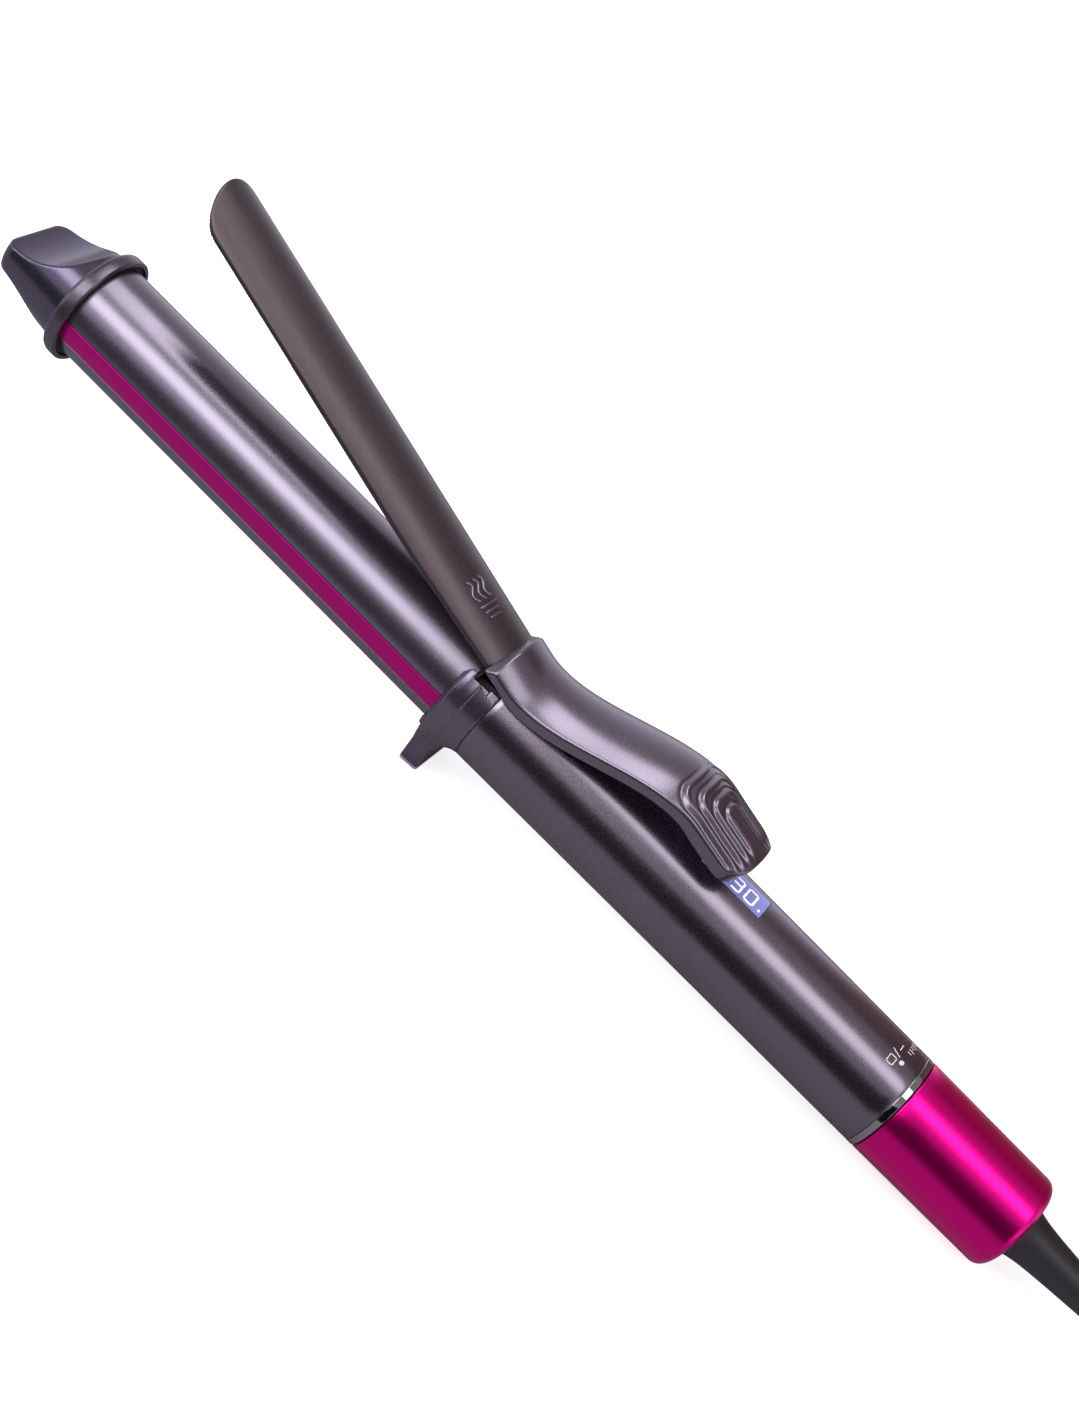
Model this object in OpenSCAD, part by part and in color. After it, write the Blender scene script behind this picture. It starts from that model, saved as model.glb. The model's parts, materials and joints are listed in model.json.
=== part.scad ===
// Curling iron with a hinged clamp, a stand collar, a turning dial and a swivel cord.
// Local frame: X runs along the tool towards the cord, Z points to the clamp side,
// and the zero is on the axis at the seam between collar and handle.
// in_pose() lays the tool on the table, resting on the stand and the dial's edge.

/* [Barrel] */
// Outer diameter of the heated barrel
barrel_d = 28; // [24:0.5:30]
// Wall of the barrel tube
barrel_wall = 1.4; // [1:0.1:2]
// Distance from the collar seam to the barrel's far end
barrel_reach = 146.5; // [120:0.5:170]
// Depth of the coloured side strips
strip_depth = 0.65; // [0.4:0.05:0.8]
// Upper and lower edge of a strip, in degrees above the side
strip_top = 3.4; // [0:0.1:10]
strip_bottom = -20.4; // [-30:0.1:-10]

/* [Tip] */
// Diameter of the cool ring at the tip
tip_ring_d = 33.2; // [31:0.1:36]
// Width of the cool ring along the tool
tip_ring_w = 4.7; // [3:0.1:7]
// Length of the cool cap in front of the ring
cap_len = 22.3; // [18:0.1:28]
// Height of the cap's blade above and below the axis
blade_up = 3.4; // [2:0.1:6]
blade_down = 4.3; // [2:0.1:6]

/* [Collar and stand] */
// Diameter of the collar's rim
collar_d = 33.2; // [32:0.1:36]
// Half width of the stand's foot
foot_half = 8.5; // [6:0.1:12]
// Nose-up angle of the tool on the table
nose_up = 3.9; // [3:0.1:4.5]

/* [Handle] */
// Handle diameter at the collar
handle_d_front = 30.4; // [30:0.1:32]
// Handle diameter at the trim ring
handle_d_rear = 28.6; // [28:0.1:30]
// Handle length
handle_len = 135.2; // [120:0.1:150]
// Wall of the handle shell
handle_wall = 1.7; // [1.4:0.1:2]
// Display window: start, end and half angle round the handle
display_x0 = 62; // [60:0.5:68]
display_x1 = 81.8; // [78:0.1:90]
display_half = 16.3; // [14:0.1:22]

/* [Dial and swivel] */
// Length of the turning dial
dial_len = 41; // [36:0.5:46]
// Radius of the dial's rounded end
dial_round = 3.4; // [2:0.1:5]
// Length of the cord boot behind the dial
boot_len = 36; // [30:0.5:45]

/* [Clamp] */
// Opening angle of the clamp as it stands
clamp_open = 16.2; // [10:0.1:18]
// Hinge pin's place
hinge_x = 9; // [8.5:0.1:9.5]
hinge_z = 10.5; // [10:0.1:11]
// Hinge pin diameter
pin_d = 3; // [2.5:0.1:3.2]
// Thickness of the clamp plate
plate_t = 0.9; // [0.7:0.1:1]
// Half angle of the clamp plate round the barrel
plate_half = 54; // [45:1:58]
// Half width of the lever
lever_half = 12.2; // [11.5:0.1:12.3]
// Height that the lever climbs to its thumb pad
lever_rise = 25.7; // [20:0.1:28]

/* [Cord] */
// Cord diameter
cord_d = 6; // [5:0.1:7]

/* [Hidden] */
$fn = 72;

// colours
gunmetal = [0.30, 0.27, 0.32];
dark_metal = [0.36, 0.32, 0.34];
magenta = [0.75, 0.05, 0.45];
charcoal = [0.16, 0.15, 0.17];
steel = [0.72, 0.72, 0.74];
brass = [0.80, 0.62, 0.30];

// general clearances
gap = 0.3;
run = 0.05;

// barrel and tip
barrel_r = barrel_d / 2;
bore_r = barrel_r - barrel_wall;
ring_x1 = -(barrel_reach - 2.6);
ring_x0 = ring_x1 - tip_ring_w;
cap_x0 = ring_x0 - cap_len;
cap_end_r = 11.7;
cap_round = 3.4;
scoop_r = 23;

// collar
collar_r = collar_d / 2;
collar_x0 = -11.6;
collar_rim_x0 = -9.9;
collar_rim_x1 = -5.5;
barrel_x1 = -8.7;
channel_half = 12.3;
channel_z = 8.6;

// handle
function handle_r(x) = handle_d_front / 2 + (handle_d_rear - handle_d_front) / 2 * x / handle_len;
pocket_half = 9.2;
pocket_x1 = 22;
board_screw_x = [29, 116];
board_screw_r = 0.9;
wire_r = 1.1;
wire_y = 3;
wire_z = -2;

// dial, spindle and boot
ring_w = 1.9;
dial_x0 = handle_len + ring_w + 0.3;
dial_x1 = dial_x0 + dial_len;
dial_r0 = handle_d_rear / 2 - 0.02;
dial_r1 = dial_r0 - 0.26;
spindle_r = 9.4;
spindle_bore = 7.4;
spindle_x1 = dial_x1 - 8;
brush_x0 = 146;
slip_x0 = 152;
boot_hole_r = 8.6;
boot_flare_r = boot_hole_r - gap;
boot_x1 = dial_x1 + boot_len;
cord_r = cord_d / 2;
boot_tip_r = cord_r + 0.9;

// clamp
plate_in = barrel_r + 0.1;
plate_out = plate_in + plate_t;
plate_x0 = -140;
plate_root_x = -8.1;
tongue_half_y = 10.2;
ear_y = 6.75;
pin_r = pin_d / 2;
lug_r = 2.3;
lever_x0 = plate_root_x;
lever_x1 = 66;
lever_corner = 6;
lever_t = 2.05;

// resting pose: the dial's rounded edge touches the table
rest_x = dial_x1 - dial_round;
axis_lift = dial_round + rest_x * sin(nose_up) + (dial_r1 - dial_round) * cos(nose_up);
pose_shift = -(boot_x1 + cap_x0) / 2 * cos(nose_up);

// the same points in the table frame
function posed(x, z) = [x * cos(nose_up) + z * sin(nose_up) + pose_shift, 0,
                        z * cos(nose_up) - x * sin(nose_up) + axis_lift];

// cord: a lead from the boot to a hank of three layers, then a tail to the plug lying on it
boot_end = posed(boot_x1, 0);
hank_run = 119;
hank_x = 295;
hank_y = 10.4;
hank_r = 27;
hank_waist = 13;
hank_z0 = 0.1;
hank_h = 18.6;
tie_w = 12;
tie_t = 0.8;
lead_x = 200;
lead_run = 34;
lead_drop = 7.6;
near_y = hank_y - hank_r + cord_r;
function lead_point(x) = [x, near_y * ease((x - lead_x) / (hank_x - hank_run / 2 - lead_x)),
                          cord_r + hank_z0 + lead_drop * (1 - ease((x - lead_x) / lead_run))];
lead_route = concat([boot_end, boot_end + 9 * [cos(nose_up), 0, -sin(nose_up)]],
                    [for (x = [206:6:242]) lead_point(x)]);
tail_r = 18;
tail_x = hank_x + hank_run / 2;
tail_y = near_y + tail_r;
tail_z = 21.7;
plug_len = [14, 24, 17];
plug_run = 44;
plug_y = hank_y + 7;
plug_z = hank_z0 + hank_h + tie_t + 8.1;
function tail_point(u) = [tail_x - plug_run * u, tail_y + tail_r + (plug_y - tail_y - tail_r) * ease(u),
                          tail_z + 1 + (plug_z - tail_z - 1) * ease(u)];
tail_route = concat(
    [for (a = [-90:15:75]) [tail_x + tail_r * cos(a), tail_y + tail_r * sin(a),
                            tail_z + ease((a + 90) / 180)]],
    [for (i = [0:6]) tail_point(i / 6)]);
plug_pos = tail_route[len(tail_route) - 1];

// ---- helpers ----
module in_pose() translate([pose_shift, 0, axis_lift]) rotate([0, nose_up, 0]) children();

module clamp_pose()
    in_pose() translate([hinge_x, 0, hinge_z]) rotate([0, clamp_open, 0])
        translate([-hinge_x, 0, -hinge_z]) children();

// revolves an outline of [radius, x] points about the tool's axis
module turned(points) rotate([0, 90, 0]) rotate_extrude() polygon(points);

module rod(r, x0, x1) translate([x0, 0, 0]) rotate([0, 90, 0]) cylinder(r = r, h = x1 - x0);

module tube(r_out, r_in, x0, x1)
    difference() { rod(r_out, x0, x1); rod(r_in, x0 - 1, x1 + 1); }

// part of a turned outline from angle a0 to a1, measured from the side towards the clamp
module sector(points, a0, a1)
    rotate([0, 90, 0]) rotate([0, 0, 90 + a0]) rotate_extrude(angle = a1 - a0) polygon(points);

function band(r_in, r_out, x0, x1) = [[r_in, x0], [r_out, x0], [r_out, x1], [r_in, x1]];

module slab(x0, x1, y0, y1, z0, z1) translate([x0, y0, z0]) cube([x1 - x0, y1 - y0, z1 - z0]);

module cross_pin(r, y0, y1) translate([0, y0, 0]) rotate([-90, 0, 0]) cylinder(r = r, h = y1 - y0);

function ease(u) = let(v = min(1, max(0, u))) v * v * (3 - 2 * v);
function unit(v) = v / norm(v);

// quarter round from angle a0 to a1 about a centre, in [radius, x] points
function round_edge(cr, cx, r, a0, a1, n = 8) =
    [for (i = [0:n]) let(a = a0 + (a1 - a0) * i / n) [cr + r * cos(a), cx + r * sin(a)]];

// closed tube swept along a route, with one ring at each route point
module swept(route, r, sides = 10) {
    n = len(route);
    function heading(i) = unit(route[min(n - 1, i + 1)] - route[max(0, i - 1)]);
    function across(i) = unit(cross([0.01, 0.02, 1], heading(i)));
    ring = [for (i = [0:n - 1]) let(s = across(i), u = cross(heading(i), s))
            for (k = [0:sides - 1]) route[i] + r * (cos(360 * k / sides) * s + sin(360 * k / sides) * u)];
    walls = [for (i = [0:n - 2], k = [0:sides - 1])
             [i * sides + k, i * sides + (k + 1) % sides,
              (i + 1) * sides + (k + 1) % sides, (i + 1) * sides + k]];
    ends = [[for (k = [sides - 1:-1:0]) k], [for (k = [0:sides - 1]) (n - 1) * sides + k]];
    polyhedron(ring, concat(walls, ends));
}

// ---- barrel and tip ----
module barrel_tube() color(gunmetal) in_pose() difference() {
    tube(barrel_r, bore_r, -barrel_reach, barrel_x1);
    for (side = [0, 180]) strip_sector(side, barrel_r - strip_depth - 0.05, barrel_r + 1, 0.2,
                                       -barrel_reach - 1, collar_x0 + 0.4);
}

// sector on one side, mirrored for the other side
module strip_sector(side, r_in, r_out, spare, x0, x1)
    if (side == 0) sector(band(r_in, r_out, x0, x1), strip_bottom - spare, strip_top + spare);
    else sector(band(r_in, r_out, x0, x1), 180 - strip_top - spare, 180 - strip_bottom + spare);

module strip_right() color(magenta) in_pose()
    strip_sector(0, barrel_r - strip_depth, barrel_r - 0.03, 0, -barrel_reach, collar_x0 + 0.3);

module strip_left() color(magenta) in_pose()
    strip_sector(180, barrel_r - strip_depth, barrel_r - 0.03, 0, -barrel_reach, collar_x0 + 0.3);

module tip_ring() color(charcoal) in_pose() turned([
    [bore_r - 0.05, ring_x0], [tip_ring_d / 2 - 0.7, ring_x0], [tip_ring_d / 2, ring_x0 + 0.7],
    [tip_ring_d / 2, ring_x1 - 0.7], [tip_ring_d / 2 - 0.7, ring_x1], [barrel_r + 0.5, ring_x1],
    [barrel_r + 0.5, -barrel_reach - 0.1], [bore_r - 0.05, -barrel_reach - 0.1]]);

module tip_cap() color(charcoal) in_pose() difference() {
    turned(concat(
        [[0, cap_x0]],
        [[cap_end_r - cap_round, cap_x0]],
        round_edge(cap_end_r - cap_round, cap_x0 + cap_round, cap_round, -75, 0),
        [[barrel_r, ring_x0 - 0.02], [bore_r - 0.1, ring_x0 - 0.02],
         [bore_r - 0.1, -barrel_reach + 9], [0, -barrel_reach + 9]]));
    translate([cap_x0 + 0.8, 0, blade_up + scoop_r]) cross_pin(scoop_r, -20, 20);
    translate([cap_x0 + 0.8, 0, -blade_down - scoop_r]) cross_pin(scoop_r, -20, 20);
    rod(8, -barrel_reach - 4, -barrel_reach + 10);
}

// ---- heater pack inside the barrel ----
module heater_plate() color("ivory") in_pose() slab(-125, -62, -6, 6, -0.9, 0.9);

module heat_shoe(side) in_pose() difference() {
    rod(bore_r - 0.05, -130, -55);
    slab(-131, -54, -14, 14, side > 0 ? -14 : -0.95, side > 0 ? 0.95 : 14);
    rod(3.2, -131, -54);
}

module heat_shoe_upper() color("silver") heat_shoe(1);

module heat_shoe_lower() color("silver") heat_shoe(-1);

module thermistor() color("peru") in_pose() translate([0, 9, 0]) rod(0.85, -101, -94);

module thermal_fuse() color("white") in_pose() translate([0, 0, 4.4]) rod(1.7, -42, -31);

module barrel_socket() color("dimgray") in_pose() difference() {
    union() { rod(bore_r - 0.1, -24, -3); rod(13.2, -3, 1.8); }
    rod(9, -25, 3);
    slab(-8, 3, -14, 14, 7.4, 15);
}

// ---- collar with the stand ----
module collar_stand() color(gunmetal) difference() {
    in_pose() difference() {
        union() {
            turned([[10, collar_x0 + 1], [barrel_r + 0.35, collar_x0],
                    [collar_r - 0.5, collar_rim_x0 - 0.5], [collar_r, collar_rim_x0],
                    [collar_r, collar_rim_x1], [collar_r - 0.6, collar_rim_x1 + 0.4],
                    [handle_r(0) + 0.05, -0.15], [10, -0.15]]);
            stand_tab();
        }
        rod(barrel_r + 0.1, collar_x0 - 1, barrel_x1 + 0.2);
        rod(bore_r, -12, 1);
        rod(13.3, -3.1, 1);
        slab(collar_x0 - 1, 1, -channel_half, channel_half, channel_z, 20);
    }
    // flat foot on the table
    translate([-300, -50, -50]) cube([600, 100, 50]);
}

// the stand: a side outline crossed with a front outline
module stand_tab() intersection() {
    translate([0, 20, 0]) rotate([90, 0, 0]) linear_extrude(40) polygon(concat(
        [[collar_rim_x0, -12], [collar_rim_x0, -16], [-8.9, -40], [-4.5, -40], [-5.2, -20.5]],
        [for (a = [175:-15:100]) [-0.9 + 4.3 * cos(a), -20.2 + 4.3 * sin(a)]],
        [[-1.2, -15.4], [-1.2, -12]]));
    translate([-20, 0, 0]) rotate([90, 0, 90]) linear_extrude(40) polygon([
        [-13, -10], [-11.6, -12.5], [-foot_half - 0.5, -24], [-foot_half, -40],
        [foot_half, -40], [foot_half + 0.5, -24], [11.6, -12.5], [13, -10]]);
}

// ---- handle ----
module handle_shell() color(gunmetal) in_pose() difference() {
    turned([[handle_r(0), 0], [handle_r(handle_len), handle_len],
            [handle_r(handle_len) - handle_wall, handle_len], [handle_r(0) - handle_wall, 0]]);
    slab(-1, pocket_x1, -pocket_half, pocket_half, 5, 20);
    sector(band(10, 18, display_x0, display_x1), 90 - display_half, 90 + display_half);
}

module display_lens() color([0.5, 0.5, 0.85]) in_pose() intersection() {
    turned([[12.7, display_x0 - 1], [handle_r(display_x0 - 1) - 0.03, display_x0 - 1],
            [handle_r(display_x1 + 1) - 0.03, display_x1 + 1], [12.7, display_x1 + 1]]);
    sector(band(10, 18, display_x0 + 0.1, display_x1 - 0.1),
           90 - display_half + 0.4, 90 + display_half - 0.4);
}

module display_module() color("black") in_pose() slab(60.5, 83.5, -5, 5, 7.5, 11.6);

module main_board() color("darkgreen") in_pose() difference() {
    slab(25, 120, -9.8, 9.8, 5.9, 7.4);
    for (x = board_screw_x) translate([x, 0, 5]) cylinder(r = board_screw_r + 0.4, h = 3);
}

module board_carrier() color("gray") in_pose() difference() {
    slab(22, 122, -10.8, 10.8, 1.9, 5.8);
    slab(33, 112, -9.2, 9.2, 3.2, 8);
    for (x = board_screw_x) translate([x, 0, 2.5]) cylinder(r = board_screw_r, h = 4);
}

module board_screws() color(steel) in_pose() for (x = board_screw_x) translate([x, 0, 0]) {
    translate([0, 0, 3]) cylinder(r = board_screw_r, h = 4.5);
    translate([0, 0, 7.45]) cylinder(r = 2.1, h = 1.2);
}

module film_capacitor() color("goldenrod") in_pose() slab(96, 109, -3.5, 3.5, 7.45, 11.2);

module terminal_block() color("seagreen") in_pose() slab(24, 36, -6.5, 6.5, -4, 1.85);

module heater_leads() color("white") in_pose()
    for (y = [-wire_y, wire_y]) translate([0, y, wire_z]) rod(wire_r, -54.5, 23.9);

module mains_leads() color("saddlebrown") in_pose()
    for (y = [-wire_y, wire_y]) translate([0, y, wire_z]) rod(wire_r, 36.1, 139.9);

// ---- clamp hinge ----
module hinge_bracket() color(steel) in_pose() difference() {
    union() {
        slab(3, 17, -12.5, 12.5, 2.2, 4.2);
        for (s = [-1, 1]) translate([0, s * 4.75, 0]) {
            slab(hinge_x - lug_r, hinge_x + lug_r, -0.85, 0.85, 3, hinge_z);
            translate([hinge_x, 0, hinge_z]) cross_pin(lug_r, -0.85, 0.85);
        }
    }
    translate([hinge_x, 0, hinge_z]) cross_pin(pin_r, -9, 9);
}

module hinge_pin() color(steel) in_pose() translate([hinge_x, 0, hinge_z])
    cross_pin(pin_r - 0.01, -8.8, 8.8);

module pin_clips() color(steel) in_pose() translate([hinge_x, 0, hinge_z])
    for (y = [-8.5, 8.1]) difference() {
        cross_pin(2.6, y, y + 0.4);
        cross_pin(pin_r, y - 1, y + 1);
    }

// torsion spring: a helix round the pin with a leg at each end
module clamp_spring() color(steel) in_pose() {
    turns = 3.5;
    coil_r = 2.35;
    wire = 0.45;
    steps = 14;
    start = -2.6;
    pitch = 5.2 / turns;
    helix = [for (i = [0:turns * steps]) let(a = 250 - 360 * i / steps)
             [hinge_x + coil_r * cos(a), start + pitch * i / steps, hinge_z + coil_r * sin(a)]];
    last = helix[len(helix) - 1];
    swept(concat([[hinge_x + 5, start, 5.0]], helix, [[last[0] + 4.2, last[1], last[2] - 0.7]]), wire, 6);
}

// spoon, tongue and hinge ears, one pressed sheet
module clamp_plate() color(dark_metal) clamp_pose() difference() {
    union() {
        intersection() {
            sector(band(plate_in, plate_out, plate_x0 - 1, 14), 90 - plate_half, 90 + plate_half);
            linear_extrude(30) plate_outline();
        }
        intersection() {
            for (s = [-1, 1]) translate([0, s * ear_y, 0]) {
                slab(hinge_x - 3, hinge_x + 3, -0.75, 0.75, hinge_z, 15);
                translate([hinge_x, 0, hinge_z]) cross_pin(3, -0.75, 0.75);
            }
            rod(plate_in + plate_t / 2, hinge_x - 4, hinge_x + 4);
        }
    }
    translate([hinge_x, 0, hinge_z]) cross_pin(pin_r + run, -9, 9);
    for (s = [-1, 1]) rotate([20 * s, 0, 0]) translate([-4.6, 0, 10]) cylinder(r = 1.05, h = 8);
}

// plan of the sheet: a round tip, nearly parallel sides, a narrower root, then the tongue
module plate_outline() {
    translate([plate_x0 + 11.4, 0]) circle(r = 11.4);
    polygon([[plate_x0 + 11.4, -11.4], [-40, -11.6], [plate_root_x, -10.9],
             [plate_root_x, -tongue_half_y], [-1.2, -tongue_half_y], [-1.2, -7.6], [13, -7.6],
             [13, 7.6], [-1.2, 7.6], [-1.2, tongue_half_y], [plate_root_x, tongue_half_y],
             [plate_root_x, 10.9], [-40, 11.6], [plate_x0 + 11.4, 11.4]]);
}

module clamp_screws() color(steel) clamp_pose()
    for (s = [-1, 1]) rotate([20 * s, 0, 0]) translate([-4.6, 0, plate_in - 0.9]) {
        cylinder(r = 1.8, h = 0.7);
        cylinder(r = 1, h = 2.9);
    }

// ---- thumb lever, lofted through sections across the tool ----
function lever_edge(x) = 12 + lever_rise * ease((x + 2) / 52) + 0.5 * ease((x - 50) / 16);
function lever_slope(x) = (lever_edge(x + 0.5) - lever_edge(x - 0.5));
function lever_stretch(x) = sqrt(1 + lever_slope(x) * lever_slope(x));
function lever_sag(x) = 5.1 - 1.1 * ease((x + 8) / 40);
function lever_lip(x) = lever_edge(x) - (2.5 + 0.6 * ease((x + 2) / 8)) * lever_stretch(x);
// the rim's underside: over the handle it is hollowed to sit just clear of the shell
function lever_low(x, y) = x < -3 ? lever_lip(x)
    : max(lever_lip(x), sqrt(max(0, pow(handle_r(0) + 0.1, 2) - y * y)));
function lever_w(x) = lever_half - 0.5 * ease((x - 40) / 20)
    - (x > lever_x1 - lever_corner
        ? lever_corner - sqrt(max(0, pow(lever_corner, 2) - pow(x - lever_x1 + lever_corner, 2))) : 0);
function crown_r(x) = let(s = lever_sag(x)) (pow(lever_half, 2) + s * s) / 2 / s;
function lever_top(x, y) = lever_edge(x) + lever_sag(x) - crown_r(x) + sqrt(pow(crown_r(x), 2) - y * y);
function lever_under(x, y) =
    lever_edge(x) + lever_sag(x) - crown_r(x) - lever_t * (lever_stretch(x) - 1)
    + sqrt(pow(crown_r(x) - lever_t, 2) - y * y);
lever_side = 1.7;
lever_n = 6;

function lever_section(x) = let(w = lever_w(x), v = w - lever_side) concat(
    [for (i = [-lever_n:lever_n]) let(y = w * i / lever_n) [x, y, lever_top(x, y)]],
    [[x, w, lever_low(x, w)], [x, v, lever_low(x, v)]],
    [for (i = [lever_n:-1:-lever_n]) let(y = v * i / lever_n)
     [x, y, max(lever_low(x, y) + 0.01, lever_under(x, y))]],
    [[x, -v, lever_low(x, v)], [x, -w, lever_low(x, w)]]);

module clamp_lever() color(gunmetal) clamp_pose() {
    stations = concat([for (x = [lever_x0:3.05:58]) x],
                      [for (a = [0:14:84]) lever_x1 - lever_corner + lever_corner * sin(a) - 0.02]);
    sections = [for (x = stations) lever_section(x)];
    m = len(sections[0]);
    n = len(stations);
    skin = [for (i = [0:n - 2], k = [0:m - 1])
            [i * m + k, (i + 1) * m + k, (i + 1) * m + (k + 1) % m, i * m + (k + 1) % m]];
    // each end is closed with quads that join the crown to the underside
    last = 4 * lever_n + 3;
    cap = concat([for (i = [0:2 * lever_n - 1]) [i, i + 1, last - i - 1, last - i]],
                 [[2 * lever_n, 2 * lever_n + 1, 2 * lever_n + 2, 2 * lever_n + 3],
                  [0, last, last + 1, last + 2]]);
    far_cap = [for (f = cap) [for (k = [3:-1:0]) (n - 1) * m + f[k]]];
    polyhedron([for (s = sections) each s], concat(skin, cap, far_cap));
}

// ---- tail: spindle, dial and swivel ----
module trim_ring() color([0.2, 0.2, 0.22]) in_pose() turned([
    [11.9, handle_len + 0.02], [handle_r(handle_len) - 0.25, handle_len + 0.02],
    [handle_r(handle_len) + 0.02, handle_len + 0.3], [handle_r(handle_len), handle_len + ring_w - 0.3],
    [handle_r(handle_len) - 0.25, handle_len + ring_w], [11.9, handle_len + ring_w]]);

module tail_spindle() color("dimgray") in_pose() difference() {
    union() { rod(spindle_r, 126.4, spindle_x1); rod(12.4, 123, 126.5); }
    rod(spindle_bore, 122, spindle_x1 + 1);
}

module encoder_ring() color("teal") in_pose() tube(12.2, spindle_r + 0.1, 126.7, 129);

module brush_holder() color("beige") in_pose() difference() {
    rod(spindle_bore - 0.05, 140, brush_x0);
    for (y = [-wire_y, wire_y]) translate([0, y, wire_z]) rod(wire_r + 0.1, 139, 142);
}

module brush_contacts() color(brass) in_pose() {
    rod(1.2, brush_x0 + 0.02, slip_x0 - gap);
    tube(4.6, 4, brush_x0 + 0.02, slip_x0 - gap);
}

module slip_rings() color(brass) in_pose() {
    rod(2, slip_x0, slip_x0 + 1);
    tube(5.4, 3.4, slip_x0, slip_x0 + 1);
}

module spindle_cap() color("dimgray") in_pose() tube(10.6, 6.6, spindle_x1 + 0.02, spindle_x1 + 2.4);

module dial_hub() color("gray") in_pose() difference() {
    union() { rod(11.6, 129.3, 139.1); rod(12.3, 139, spindle_x1 - 0.3); }
    rod(spindle_r + run, 129, spindle_x1);
}

module dial_sleeve() color(magenta) in_pose() turned(concat(
    [[12.32, dial_x0], [dial_r0 - 0.3, dial_x0], [dial_r0, dial_x0 + 0.3]],
    round_edge(dial_r1 - dial_round, dial_x1 - dial_round, dial_round, 0, 90),
    [[boot_hole_r, dial_x1], [boot_hole_r, dial_x1 - 1.8], [12.32, dial_x1 - 3.4]]));

module swivel_boot() color(charcoal) in_pose() turned(concat(
    [[0, slip_x0 + 1.02], [spindle_bore - run, slip_x0 + 1.02], [spindle_bore - run, spindle_x1 - 0.3],
     [6.3, spindle_x1 - 0.3], [6.3, spindle_x1 + 2.7], [boot_flare_r, spindle_x1 + 2.7]],
    [for (i = [0:10]) let(u = i / 10, x = dial_x1 + 0.3 + (boot_len - 0.3) * u * u) [boot_r(x), x]],
    [[0, boot_x1]]));

// boot radius: a quick flare at the dial, then a long taper to the cord
function boot_r(x) = let(d = x - dial_x1) boot_tip_r + (6.2 - boot_tip_r) * max(0, 1 - d / boot_len)
    + 2.1 * exp(-max(0, d) / 2.4);

// ---- cord set ----
module cord_lead() color(charcoal) swept(lead_route, cord_r, 10);

module cord_tail() color(charcoal) swept(tail_route, cord_r, 10);

// outline of the folded cord, pulled in at its waist
module hank_outline() {
    for (s = [-1, 1]) translate([s * hank_run / 2, 0]) circle(r = hank_r);
    polygon([[-hank_run / 2, -hank_r], [0, -hank_waist], [hank_run / 2, -hank_r],
             [hank_run / 2, hank_r], [0, hank_waist], [-hank_run / 2, hank_r]]);
}

module cord_hank() color(charcoal) translate([hank_x, hank_y, hank_z0]) difference() {
    linear_extrude(hank_h) hank_outline();
    translate([-tie_w / 2, -50, -1]) cube([tie_w, 100, 1 + tie_t]);
}

module cord_tie() color("black") translate([hank_x, hank_y, hank_z0]) difference() {
    translate([-tie_w / 2, -hank_waist - 2.4, 0])
        cube([tie_w, 2 * hank_waist + 4.8, hank_h + tie_t]);
    translate([-tie_w / 2 - 1, -hank_waist - 1.6, tie_t])
        cube([tie_w + 2, 2 * hank_waist + 3.2, hank_h - tie_t]);
}

module plug_body() color(charcoal) translate(plug_pos) rotate([0, -90, 0]) {
    cylinder(r1 = cord_r + 0.6, r2 = 6.4, h = plug_len[0] + 0.5);
    translate([-8, -12, plug_len[0]]) cube([16, 24, plug_len[1]]);
}

module plug_blades() color(brass) translate(plug_pos)
    for (s = [-1, 1])
        translate([-plug_len[0] - plug_len[1] - 0.02 - plug_len[2], s * 6.35 - 0.75, -3.2])
            cube([plug_len[2], 1.5, 6.4]);

barrel_tube();
strip_left();
strip_right();
tip_ring();
tip_cap();
heater_plate();
heat_shoe_upper();
heat_shoe_lower();
thermistor();
thermal_fuse();
barrel_socket();
collar_stand();
handle_shell();
hinge_bracket();
hinge_pin();
pin_clips();
clamp_spring();
clamp_plate();
clamp_lever();
clamp_screws();
display_lens();
display_module();
main_board();
board_carrier();
board_screws();
film_capacitor();
terminal_block();
heater_leads();
mains_leads();
trim_ring();
tail_spindle();
encoder_ring();
brush_holder();
brush_contacts();
spindle_cap();
dial_sleeve();
dial_hub();
swivel_boot();
slip_rings();
cord_lead();
cord_hank();
cord_tail();
cord_tie();
plug_body();
plug_blades();
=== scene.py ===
"""Looks of the curling iron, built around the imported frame.

Shapes are written in the tool's own frame, in millimetres: x runs along the tool towards the cord,
z points to the clamp side, y = 0 is the middle, and x = 0 is the seam between collar and handle.
tool() turns them into the row frame, in metres.
"""
import json
import math

import bpy
import numpy as np
from mathutils import Matrix, Vector


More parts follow.
